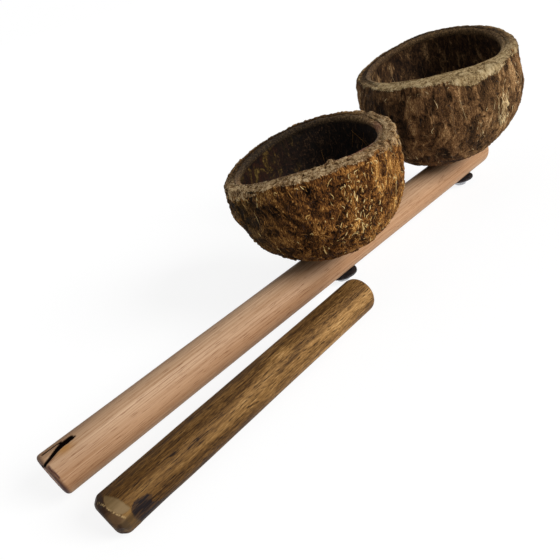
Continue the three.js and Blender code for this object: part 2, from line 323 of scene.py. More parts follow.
class Recipe:
    """Builds the nodes of a material or a sky a step at a time."""

    def __init__(self, holder: Material | bpy.types.World) -> None:
        """Starts with no nodes.

        Args:
            holder: what the nodes belong to.
        """
        self.holder = holder
        self.holder.use_nodes = True
        self.tree = self.holder.node_tree
        self.tree.nodes.clear()

    def add(self, kind: str, **settings: object) -> bpy.types.Node:
        """Adds a node and sets its properties."""
        node = self.tree.nodes.new(kind)
        for key, value in settings.items():
            setattr(node, key, value)
        return node

    def feed(self, socket: Socket, value: Feed) -> None:
        """Links a socket to another, or sets its value."""
        if isinstance(value, Socket):
            self.tree.links.new(value, socket)
        elif isinstance(value, tuple) and socket.type == "RGBA":
            socket.default_value = (*value, 1.0)
        else:
            socket.default_value = value

    def mask(self, name: str) -> Socket:
        """A share that the mesh holds under a name."""
        return self.add("ShaderNodeAttribute", attribute_name=name).outputs["Fac"]

    def flow(self, stretch: Triple) -> Socket:
        """The place along the fibres in mm, times the stretch on each axis."""
        source = self.add("ShaderNodeAttribute", attribute_name="flow").outputs["Vector"]
        return self.scaled(source, stretch)

    def place(self, stretch: Triple) -> Socket:
        """The place on the object in metres, times the stretch on each axis."""
        return self.scaled(self.add("ShaderNodeTexCoord").outputs["Object"], stretch)

    def scaled(self, source: Socket, stretch: Triple) -> Socket:
        """A vector multiplied axis by axis."""
        node = self.add("ShaderNodeVectorMath", operation="MULTIPLY")
        self.feed(node.inputs[0], source)
        node.inputs[1].default_value = stretch
        return node.outputs[0]

    def noise(self, vector: Socket, detail: float, roughness: float = 0.5, swirl: float = 0.0) -> Socket:
        """Smooth noise from 0 to 1, mostly near 0.5.

        Args:
            vector: where to read it, in cells.
            detail: how many finer layers it has.
            roughness: how strong the finer layers are.
            swirl: how much it is bent.

        Returns:
            The noise.
        """
        node = self.add("ShaderNodeTexNoise")
        self.feed(node.inputs["Vector"], vector)
        node.inputs["Scale"].default_value = 1.0
        node.inputs["Detail"].default_value = detail
        node.inputs["Roughness"].default_value = roughness
        node.inputs["Distortion"].default_value = swirl
        return node.outputs[0]

    def sum(self, operation: str, first: Feed, second: Feed = 0.0, clamp: bool = False) -> Socket:
        """One step of arithmetic."""
        node = self.add("ShaderNodeMath", operation=operation, use_clamp=clamp)
        self.feed(node.inputs[0], first)
        self.feed(node.inputs[1], second)
        return node.outputs[0]

    def blend(self, parts: Sequence[tuple[Feed, float]], base: float = 0.5) -> Socket:
        """Adds up parts about their middles.

        Args:
            parts: each part with its weight. A part counts from its middle, 0.5.
            base: the result where all parts are at their middles.

        Returns:
            The total, kept from 0 to 1.
        """
        total: Feed = base - 0.5 * sum(weight for _, weight in parts)
        for part, weight in parts:
            node = self.add("ShaderNodeMath", operation="MULTIPLY_ADD")
            self.feed(node.inputs[0], part)
            node.inputs[1].default_value = weight
            self.feed(node.inputs[2], total)
            total = node.outputs[0]
        return self.sum("ADD", total, 0.0, clamp=True)

    def step(self, value: Feed, low: float, high: float) -> Socket:
        """Rises smoothly from 0 at low to 1 at high."""
        node = self.add("ShaderNodeMapRange", interpolation_type="SMOOTHSTEP")
        self.feed(node.inputs["Value"], value)
        node.inputs["From Min"].default_value = low
        node.inputs["From Max"].default_value = high
        return node.outputs["Result"]

    def ramp(self, amount: Feed, colours: Ramp) -> Socket:
        """Turns a share into a colour."""
        node = self.add("ShaderNodeValToRGB")
        self.feed(node.inputs["Fac"], amount)
        points = node.color_ramp.elements
        while len(points) < len(colours.stops):
            points.new(0.5)
        for point, (place, red, green, blue) in zip(points, colours.stops):
            point.position = place
            point.color = (*tint(red, green, blue), 1.0)
        return node.outputs["Color"]

    def mix(self, amount: Feed, first: Feed, second: Feed, mode: str = "MIX") -> Socket:
        """Mixes two colours."""
        node = self.add("ShaderNodeMix", data_type="RGBA", blend_type=mode)
        self.feed(node.inputs[0], amount)
        self.feed(node.inputs[6], first)
        self.feed(node.inputs[7], second)
        return node.outputs[2]

    def bump(self, height: Feed, depth: float, under: Socket | None = None) -> Socket:
        """Tips the surface by a height from 0 to 1.

        Args:
            height: the share of the depth at each point.
            depth: the depth in mm.
            under: another bump that this one adds to.

        Returns:
            The bent normal.
        """
        node = self.add("ShaderNodeBump")
        node.inputs["Distance"].default_value = depth * MM
        self.feed(node.inputs["Height"], height)
        if under is not None:
            self.feed(node.inputs["Normal"], under)
        return node.outputs["Normal"]

    def surface(
        self,
        colour: Feed,
        roughness: Feed,
        normal: Socket,
        metallic: float = 0.0,
        specular: Feed = 0.5,
    ) -> Material:
        """Ends the material in one shader.

        Args:
            colour: the surface's own colour.
            roughness: from 0, a mirror, to 1.
            normal: the bent normal.
            metallic: 1 for bare metal.
            specular: the strength of the gloss on what isn't metal.

        Returns:
            The finished material.
        """
        shader = self.add("ShaderNodeBsdfPrincipled")
        self.feed(shader.inputs["Base Color"], colour)
        self.feed(shader.inputs["Roughness"], roughness)
        self.feed(shader.inputs["Normal"], normal)
        shader.inputs["Metallic"].default_value = metallic
        self.feed(shader.inputs["Specular IOR Level"], specular)
        output = self.add("ShaderNodeOutputMaterial")
        self.feed(output.inputs["Surface"], shader.outputs["BSDF"])
        return self.holder

    def glow(self, kind: str, strength: float) -> bpy.types.Node:
        """A node that gives off white light."""
        node = self.add(kind)
        node.inputs["Color"].default_value = (1.0, 1.0, 1.0, 1.0)
        node.inputs["Strength"].default_value = strength
        return node

    def seen(self) -> Socket:
        """1 for the camera's rays, and for those that gloss and clear things pass on to it."""
        rays = self.add("ShaderNodeLightPath")
        straight = self.sum("MAXIMUM", rays.outputs["Is Camera Ray"], rays.outputs["Is Glossy Ray"])
        return self.sum("MAXIMUM", straight, rays.outputs["Is Transmission Ray"])

    def choose(self, amount: Feed, first: bpy.types.Node, second: bpy.types.Node, end: str) -> None:
        """Ends the nodes in a mix of two shaders.

        Args:
            amount: the share of the second one.
            first: the first shader.
            second: the second shader.
            end: the kind of node that ends them.
        """
        mixed = self.add("ShaderNodeMixShader")
        self.feed(mixed.inputs["Fac"], amount)
        self.feed(mixed.inputs[1], first.outputs[0])
        self.feed(mixed.inputs[2], second.outputs[0])
        self.feed(self.add(end).inputs["Surface"], mixed.outputs[0])


@dataclass(frozen=True)
class HuskFinish:
    """Rough coconut husk: tones that the mesh's masks choose among, and a pale worn edge.

    curl_size is the width in mm of the short curled fibres that cover it, and contrast scales their tones.
    scar is the painted shade in its hollows, also laid as the dark of an unworn rim's inner half.
    """

    name: str
    body: Ramp
    shaded: Ramp
    gold: Ramp
    worn: Ramp
    curl_size: float
    contrast: float
    scar: Tint = tint(14, 8, 5)

    def material(self) -> Material:
        """Builds the husk's material."""
        mix = Recipe(bpy.data.materials.new(self.name))
        wide = 1.0 / self.curl_size
        curls = mix.noise(mix.flow((wide, wide, wide / 2.6)), 3.0, 0.62, 2.2)
        hairs = mix.noise(mix.flow((wide * 1.9, wide * 1.9, wide / 3.4)), 2.0, 0.6, 1.4)
        blotches = mix.noise(mix.flow((0.32, 0.32, 0.2)), 3.0, 0.6, 1.2)
        grains = mix.noise(mix.flow((wide * 1.7, wide * 1.7, wide * 1.5)), 3.0, 0.7)
        patches = mix.noise(mix.flow((0.075, 0.075, 0.05)), 3.0, 0.55, 0.6)
        # Painted shade from the relief: darker in the husk's pits, lighter on its ridges
        cavity = mix.mask("cavity")
        tone = mix.blend(
            [
                (curls, 1.7 * self.contrast),
                (hairs, 0.9 * self.contrast),
                (grains, 1.3 * self.contrast),
                (patches, 0.9),
                (cavity, 0.9),
            ],
            0.43,
        )
        shade = mix.ramp(tone, self.body)
        # Painted shade on the cup's left and back, with the husk's own darker olive tone there
        shade = mix.mix(mix.mask("shaded"), shade, mix.ramp(tone, self.shaded))
        shade = mix.mix(mix.mask("gold"), shade, mix.ramp(tone, self.gold))
        rough_edge = mix.blend([(mix.mask("worn"), 1.0), (grains, 1.3), (curls, 0.6), (blotches, 1.0)], 0.5)
        pale = mix.step(rough_edge, 0.5, 0.68)
        grit = mix.blend([(grains, 1.8), (hairs, 0.9), (blotches, 1.7), (cavity, 0.9)], 0.56)
        shade = mix.mix(mix.sum("MULTIPLY", pale, mix.mask("pale")), shade, mix.ramp(grit, self.worn))
        # Painted shade in the scars' hollows, and the darker inner half of an unworn rim
        shade = mix.mix(mix.mask("dark"), shade, self.scar)
        height = mix.blend([(curls, 1.0), (hairs, 0.6), (grains, 1.1)], 0.5)
        return mix.surface(shade, 0.86, mix.bump(height, 0.9), specular=0.06)


@dataclass(frozen=True)
class ShellFinish:
    """The hard shell inside a cup: nearly black, lighter and patchy in reddish and olive tones where painted
    light falls on its inside, with a sawn edge, in places redder.
    """

    name: str
    body: Ramp
    patched: Ramp
    edge: Ramp
    pale_edge: Ramp
    red_edge: Ramp
    stain: Tint = tint(18, 9, 5)

    def material(self) -> Material:
        """Builds the hard shell's material."""
        mix = Recipe(bpy.data.materials.new(self.name))
        streaks = mix.noise(mix.flow((0.24, 0.24, 0.14)), 4.0, 0.65, 1.4)
        hairs = mix.noise(mix.flow((1.1, 1.1, 0.3)), 2.0, 0.55, 0.8)
        grains = mix.noise(mix.place((900.0, 900.0, 900.0)), 2.0, 0.6)
        tone = mix.blend([(streaks, 2.4), (hairs, 0.5), (grains, 1.2)], 0.45)
        shade = mix.ramp(tone, self.body)
        patch = mix.noise(mix.flow((0.11, 0.11, 0.07)), 3.0, 0.6, 0.9)
        hue = mix.blend([(patch, 3.0), (grains, 0.5), (streaks, 0.6)], 0.5)
        depth = mix.blend([(streaks, 2.8), (grains, 1.2)], 0.55)
        # Painted light: the lit part of the inside takes lighter patchy tones, the shell's own reddish and
        # olive patches among them
        shade = mix.mix(mix.mask("lit"), shade, mix.mix(depth, self.stain, mix.ramp(hue, self.patched)))
        grit = mix.blend([(grains, 1.6), (hairs, 1.2), (streaks, 0.6)], 0.5)
        sawn = mix.mix(mix.mask("pale"), mix.ramp(grit, self.edge), mix.ramp(grit, self.pale_edge))
        sawn = mix.mix(mix.mask("red"), sawn, mix.ramp(grit, self.red_edge))
        shade = mix.mix(mix.mask("sawn"), shade, sawn)
        height = mix.blend([(streaks, 0.8), (hairs, 0.5), (grains, 0.9)], 0.5)
        return mix.surface(shade, 0.7, mix.bump(height, 0.4), specular=0.1)


@dataclass(frozen=True)
class FibreFinish:
    """Loose coir fibres of one colour."""

    name: str
    colours: Ramp

    def material(self) -> Material:
        """Builds the fibre's material."""
        mix = Recipe(bpy.data.materials.new(self.name))
        tone = mix.noise(mix.place((120.0, 120.0, 120.0)), 2.0, 0.6)
        grain = mix.noise(mix.place((1500.0, 1500.0, 1500.0)), 1.0)
        shade = mix.ramp(mix.blend([(tone, 1.6), (grain, 1.0)], 0.5), self.colours)
        return mix.surface(shade, 0.7, mix.bump(grain, 0.05), specular=0.25)


@dataclass(frozen=True)
class StickFinish:
    """Pale fine-grained hardwood with a resin-filled crack at the handle end."""

    name: str = "stick_hardwood"
    body: Ramp = Ramp(
        (
            (0.0, 142, 104, 76), (0.3, 168, 133, 101), (0.55, 184, 151, 120), (0.8, 198, 167, 137),
            (1.0, 216, 184, 156),
        )
    )
    sawn_end: Ramp = Ramp(((0.3, 128, 92, 72), (0.7, 166, 126, 102)))
    pore: Tint = tint(118, 78, 52)
    pale_line: Tint = tint(222, 190, 160)
    dark_line: Tint = tint(136, 96, 68)
    cool: Tint = tint(188, 178, 168)
    warm: Tint = tint(242, 212, 180)
    stain: Tint = tint(150, 104, 44)
    scorch: Tint = tint(52, 24, 26)
    resin: Tint = tint(8, 5, 4)

    def material(self) -> Material:
        """Builds the stick's material."""
        mix = Recipe(bpy.data.materials.new(self.name))
        broad = mix.noise(mix.flow((0.004, 0.14, 0.14)), 2.0, 0.5, 0.2)
        bands = mix.noise(mix.flow((0.006, 1.3, 1.3)), 3.0, 0.6, 0.15)
        threads = mix.noise(mix.flow((0.02, 3.0, 3.0)), 2.0, 0.6)
        tone = mix.blend([(broad, 0.9), (bands, 0.8), (threads, 0.8)], 0.5)
        shade = mix.ramp(tone, self.body)
        pores = mix.noise(mix.flow((0.09, 2.6, 2.6)), 1.0, 0.5)
        shade = mix.mix(mix.sum("MULTIPLY", mix.step(pores, 0.6, 0.7), 0.7), shade, self.pore)
        lines = mix.noise(mix.flow((0.003, 1.0, 1.0)), 1.0, 0.5)
        shade = mix.mix(mix.sum("MULTIPLY", mix.step(lines, 0.66, 0.74), 0.45), shade, self.pale_line)
        dark_lines = mix.step(mix.noise(mix.flow((0.004, 1.5, 1.5)), 1.0, 0.5), 0.64, 0.72)
        shade = mix.mix(mix.sum("MULTIPLY", dark_lines, 0.5), shade, self.dark_line)
        # Painted shade, greyish, on the side turned from the light, and a greyer tone towards the handle end
        shade = mix.mix(mix.mask("cool"), shade, self.cool, "MULTIPLY")
        shade = mix.mix(mix.mask("warm"), shade, self.warm, "MULTIPLY")
        shade = mix.mix(mix.mask("stain"), shade, self.stain)
        rings = mix.noise(mix.flow((0.0, 0.9, 0.5)), 3.0, 0.6)
        shade = mix.mix(mix.mask("end"), shade, mix.ramp(rings, self.sawn_end))
        # Painted shade on the rounded edge at the handle end, with a dark line along that edge and a darker
        # ring on the sawn face
        shade = mix.mix(mix.mask("scorch"), shade, self.scorch)
        shade = mix.mix(mix.mask("resin"), shade, self.resin)
        height = mix.blend([(threads, 0.5), (pores, -0.7)], 0.5)
        roughness = mix.blend([(threads, 0.3)], 0.55)
        gloss = mix.sum("MULTIPLY", mix.sum("SUBTRACT", 1.0, mix.mask("resin")), 0.08)
        return mix.surface(shade, roughness, mix.bump(height, 0.1), specular=gloss)


@dataclass(frozen=True)
class BeaterFinish:
    """Dark olive-brown hardwood with short coarse grain, and fresh and burnt places at the whittled end.

    char, whittled and fresh are pairs of tones that the grain picks from. near multiplies the wood, and so
    does a painted shade on the side turned from the light.
    """

    name: str = "beater_hardwood"
    body: Ramp = Ramp(
        (
            (0.0, 44, 27, 12), (0.28, 88, 61, 31), (0.5, 128, 93, 51), (0.75, 165, 125, 75),
            (1.0, 200, 160, 106),
        )
    )
    pore: Tint = tint(44, 26, 10)
    near: Tint = tint(168, 160, 140)
    # Painted shade on the side turned from the light
    dim: Tint = tint(205, 192, 174)
    char: tuple[Tint, Tint] = (tint(22, 15, 16), tint(66, 46, 28))
    whittled: tuple[Tint, Tint] = (tint(44, 28, 16), tint(82, 60, 38))
    fresh: tuple[Tint, Tint] = (tint(96, 76, 48), tint(118, 96, 65))
    lip: Tint = tint(158, 132, 90)

    def material(self) -> Material:
        """Builds the beater's material."""
        mix = Recipe(bpy.data.materials.new(self.name))
        broad = mix.noise(mix.flow((0.014, 0.12, 0.12)), 3.0, 0.55, 0.5)
        bands = mix.noise(mix.flow((0.08, 1.0, 1.0)), 3.0, 0.62, 0.5)
        threads = mix.noise(mix.flow((0.28, 2.4, 2.4)), 3.0, 0.62, 0.4)
        tone = mix.blend([(broad, 1.5), (bands, 1.0), (threads, 1.1)], 0.5)
        shade = mix.ramp(tone, self.body)
        pores = mix.noise(mix.flow((0.13, 1.7, 1.7)), 2.0, 0.5)
        shade = mix.mix(mix.step(pores, 0.57, 0.68), shade, self.pore)
        shade = mix.mix(mix.mask("near"), shade, self.near, "MULTIPLY")
        # Painted shade on the side turned from the light
        shade = mix.mix(mix.mask("dim"), shade, self.dim, "MULTIPLY")
        edge = mix.blend([(mix.mask("burnt"), 1.0), (bands, 1.6)], 0.5)
        char = mix.mix(mix.step(bands, 0.46, 0.6), *self.char)
        shade = mix.mix(mix.step(edge, 0.42, 0.62), shade, char)
        whittled = mix.mix(mix.step(broad, 0.42, 0.6), *self.whittled)
        shade = mix.mix(mix.mask("whittled"), shade, whittled)
        fresh = mix.mix(mix.step(broad, 0.4, 0.6), *self.fresh)
        shade = mix.mix(mix.mask("fresh"), shade, fresh)
        splinters = mix.sum("MULTIPLY", mix.mask("lip"), mix.step(bands, 0.42, 0.58))
        shade = mix.mix(splinters, shade, self.lip)
        height = mix.blend([(bands, 0.7), (threads, 0.6), (pores, -0.9)], 0.5)
        roughness = mix.blend([(threads, 0.3)], 0.55)
        return mix.surface(shade, roughness, mix.bump(height, 0.2), specular=0.08)


@dataclass(frozen=True)
class SteelFinish:
    """Plated steel, or dark steel that stands in for the shade under the stick, with fine turning marks and a
    little dirt.
    """

    name: str
    clean: Ramp
    metallic: float
    roughness: float

    def material(self) -> Material:
        """Builds the steel's material."""
        mix = Recipe(bpy.data.materials.new(self.name))
        cloud = mix.noise(mix.place((260.0, 260.0, 260.0)), 3.0, 0.6)
        marks = mix.noise(mix.place((900.0, 900.0, 4000.0)), 2.0, 0.6)
        shade = mix.ramp(mix.blend([(cloud, 1.6), (marks, 0.8)], 0.5), self.clean)
        roughness = mix.blend([(cloud, 0.5)], self.roughness)
        return mix.surface(shade, roughness, mix.bump(marks, 0.03), metallic=self.metallic)


# Cups


# A climb is 0 at a cup's pole and 1 at its rim. The husk starts at the first climb and has its full relief at
# the second one
FIRST_CLIMB = 0.075
FULL_RELIEF_CLIMB = 0.3
LUMPS_FULL_SHARE = 0.4

# The joint between husk and hard shell, as a share of the wall from its inner face, and the climbs it spans
SEAM_SHARE = 0.32
SEAM_GAP = 0.01
SEAM_CLIMBS = (0.14, 0.99)
SEAM_ROWS = 9

# The hard shell's inside spans these climbs, and its edge starts to rise, chip and look sawn at these
SHELL_CLIMBS = (0.25, 0.985)
SWELL_CLIMBS = (0.3, 0.5)
RISE_CLIMB = 0.85
CHIP_CLIMB = 0.93
SAWN_CLIMB = 0.982
CHIP_DEPTH = 0.9

# The rim's width in mm, how much faster its pattern runs inward, and the worn band's soft edge in mm
RIM_WIDTH = 13.0
RIM_FLOW = 2.4
WORN_EDGE = 3.0

# How worn the rim is at the foot of its bevel, how much more on its top, and where the husk below is worn
BEVEL_WORN = 0.15
TOP_WORN_GAIN = 0.72
DEEP_WORN = 0.87

# The pale line along the rim's outer edge, and the dark that an unworn rim has inward of it, as shares across
PALE_LINE = 0.5
PALE_LINE_SHARES = (0.16, 0.04)
UNWORN_DARK = 0.8
UNWORN_SHARES = (0.2, 0.6)


@dataclass(frozen=True)
class Scar:
    """A hollow in a cup's husk.

    width and height are half sizes in mm, and depth is in mm. The share climb runs from the pole to the rim.
    """

    bearing_deg: float
    climb: float
    width: float
    height: float
    depth: float


@dataclass(frozen=True)
class Lobe:
    """A share that is strongest at one bearing."""

    bearing_deg: float
    width_deg: float
    strength: float


def lobes_at(bearing: Array, lobes: Sequence[Lobe], base: float = 0.0) -> Array:
    """Adds up lobes at each bearing, from a base."""
    return base + sum(part.strength * lobe(bearing, part.bearing_deg, part.width_deg) for part in lobes)


@dataclass(frozen=True)
class RimMark:
    """A lump or a notch in a cup's sawn rim.

    The share inward runs from the outer edge to the inner one. size is a half width in mm, and lift is in mm.
    """

    bearing_deg: float
    inward: float
    size: float
    lift: float


@dataclass(frozen=True)
class HuskTexture:
    """How rough a cup's husk is, in mm, and where it is worn, pale, golden, and darker with painted shade and
    its own olive tone.
    """

    lump: float
    ridge: float
    plate: float
    pit: float
    rim_roughness: float
    sway: float
    seed: int
    worn_depth: tuple[Lobe, ...]
    worn_base: float
    pale: tuple[Lobe, ...]
    pale_base: float
    gold: tuple[Lobe, ...]
    # Where painted shade and a darker olive tone lie
    shaded: tuple[Lobe, ...]
    scars: tuple[Scar, ...] = ()
    rim_marks: tuple[RimMark, ...] = ()
    rim_rise: tuple[Lobe, ...] = ()

    def relief(self, bearing: Array, climb: Array, length: float) -> tuple[Array, Array, Array]:
        """Works out how far the husk stands proud.

        Args:
            bearing: angles about the cup's axis.
            climb: the way up from the pole to the rim, from 0 to 1.
            length: the way's length in mm.

        Returns:
            The height in mm, the painted shade of the relief from 0 in its pits to 1 on its ridges, and the
            painted shade in the scars' hollows.
        """
        sway = self.sway * Grain(7, 5, self.seed).at(bearing, climb)
        sway += 0.25 * self.sway * Grain(31, 18, self.seed + 1).at(bearing, climb)
        swept = bearing + sway
        lumps = Grain(23, 10, self.seed + 3).at(bearing, climb)
        ridges = Grain(130, 11, self.seed + 4).at(swept, climb)
        ridges += 0.7 * Grain(250, 24, self.seed + 5).at(swept, climb)
        plates = Grain(62, 13, self.seed + 6).at(swept, climb)
        plates += 0.6 * Grain(140, 42, self.seed + 7).at(swept, climb)
        plates = smooth_step(-0.12, 0.12, plates) - 0.5
        pits = smooth_step(0.55, 0.85, Grain(190, 74, self.seed + 8).at(swept, climb))
        # Painted shade lies where the scars' hollows are deepest
        scar_depth = np.zeros_like(bearing)
        scar_shade = np.zeros_like(bearing)
        for scar in self.scars:
            sideways = away_from(bearing, scar.bearing_deg) * length / 2.0 / scar.width
            reach = sideways**2 + ((climb - scar.climb) * length / scar.height) ** 2
            hollow = np.exp(-reach)
            scar_depth += scar.depth * hollow
            scar_shade = np.maximum(scar_shade, smooth_step(0.35, 0.8, hollow))
        fine = self.ridge * ridges + self.plate * plates - self.pit * pits
        # Painted shade from the relief: 0 in the pits, 1 on the ridges
        cavity = np.clip(0.5 + fine / (2.0 * (self.ridge + self.plate)), 0.0, 1.0)
        return self.lump * lumps + fine - scar_depth, cavity, scar_shade

    def rim_lift(self, bearing: Array, inward: float, length: float) -> Array:
        """How far the rim's lumps and notches stand proud, in mm.

        Args:
            bearing: angles about the cup's axis.
            inward: the share of the way over the rim from its outer edge to its inner one.
            length: the rim's radius in mm.

        Returns:
            The height at each point.
        """
        lift = np.zeros_like(bearing)
        for mark in self.rim_marks:
            aside = away_from(bearing, mark.bearing_deg) * length
            gap = np.hypot(aside, (inward - mark.inward) * RIM_WIDTH)
            lift += mark.lift * np.exp(-((gap / mark.size) ** 2))
        return lift


@dataclass(frozen=True)
class Lump:
    """Broad waves in a cup's wall.

    height is in mm. around and up count the waves. One of them crests at the bearing and the height share.
    """

    height: float
    around: int
    up: int
    bearing_deg: float
    climb_share: float


@dataclass(frozen=True)
class CupShape:
    """The form of one coconut cup. Heights are above its pole."""

    radius: float
    height: float
    widest_height: float
    closing_height: float
    fullness: float
    pole_wall: float
    rim_wall: float
    rim_bevel: float
    rim_tilt: float
    rim_tilt_deg: float
    rim_wave: float
    rim_wave_deg: float
    oval_share: float
    oval_deg: float
    three_sided_share: float
    three_sided_deg: float
    pole_along: float
    pole_across: float
    bore_along: float
    bore_across: float
    lean_across_deg: float
    lean_to_handle_deg: float
    saddle_depth: float
    lumps: tuple[Lump, ...]

    def outer_radius(self, height: Array) -> Array:
        """The outer radius at a height, before the cup goes oval."""
        below = (self.widest_height - height) / self.widest_height
        above = (height - self.widest_height) / self.closing_height
        rise = np.where(height < self.widest_height, below, above)
        return self.radius * (1.0 - rise**self.fullness) ** (1.0 / self.fullness)

    def inner_radius(self, height: Array) -> Array:
        """The inner radius at a height above the outer pole, before the cup goes oval."""
        rise = np.clip((self.widest_height - height) / (self.widest_height - self.pole_wall), 0.0, 1.0)
        bowl = (self.radius - self.rim_wall) * (1.0 - rise**self.fullness) ** (1.0 / self.fullness)
        return np.where(height > self.widest_height, self.outer_radius(height) - self.rim_wall, bowl)

    def uneven(self, bearing: Array) -> Array:
        """The share by which the cup is wider at a bearing."""
        oval = self.oval_share * np.cos(2.0 * (bearing - math.radians(self.oval_deg)))
        three = self.three_sided_share * np.cos(3.0 * (bearing - math.radians(self.three_sided_deg)))
        return 1.0 + oval + three

    def lumps_out(self, bearing: Array, share: Array) -> Array:
        """How far the broad lumps stand out, at a share of the height."""
        out = np.zeros_like(bearing)
        for lump in self.lumps:
            side = np.cos(lump.around * (bearing - math.radians(lump.bearing_deg)))
            out += lump.height * side * np.cos(lump.up * math.pi * (share - lump.climb_share))
        return out * np.minimum(share / LUMPS_FULL_SHARE, 1.0) ** 2

    def rim(self, bearing: Array) -> Array:
        """The height of the sawn rim."""
        tilt = self.rim_tilt * np.cos(bearing - math.radians(self.rim_tilt_deg))
        return self.height + tilt + self.rim_wave * np.cos(2.0 * (bearing - math.radians(self.rim_wave_deg)))

    def outer(self, bearing: Array, climb: Array) -> Array:
        """Places on the outer face, at a share of the way from the pole to the rim's bevel."""
        share = climb**2
        height = (self.rim(bearing) - self.rim_bevel) * share
        radius = self.outer_radius(height) * self.uneven(bearing) + self.lumps_out(bearing, share)
        return polar(radius, bearing, height)

    def inner(self, bearing: Array, climb: Array) -> Array:
        """Places on the inner face, at a share of the way from the inner pole to the rim's bevel."""
        share = climb**2
        height = self.pole_wall + (self.rim(bearing) - self.rim_bevel - self.pole_wall) * share
        places = polar(self.inner_radius(height) * self.uneven(bearing), bearing, height)
        places[..., 0] += self.bore_along * share
        places[..., 1] += self.bore_across * share
        return places

    def wall(self, bearing: Array, climb: Array, share: float) -> Array:
        """Places in the wall, from the inner face at share 0 to the outer face at share 1."""
        return self.inner(bearing, climb) * (1.0 - share) + self.outer(bearing, climb) * share

    def facing(self, bearing: Array, climb: Array, face: Wall) -> Array:
        """The direction in which a face looks, out of the wall."""
        step = 1e-3
        path = self.outer if face is Wall.OUTER else self.inner
        up = path(bearing, np.minimum(climb + step, 1.0)) - path(bearing, climb - step)
        round_about = path(bearing + step, climb) - path(bearing - step, climb)
        normal = np.cross(round_about, up)
        normal /= np.linalg.norm(normal, axis=-1, keepdims=True)
        return normal if face is Wall.OUTER else -normal


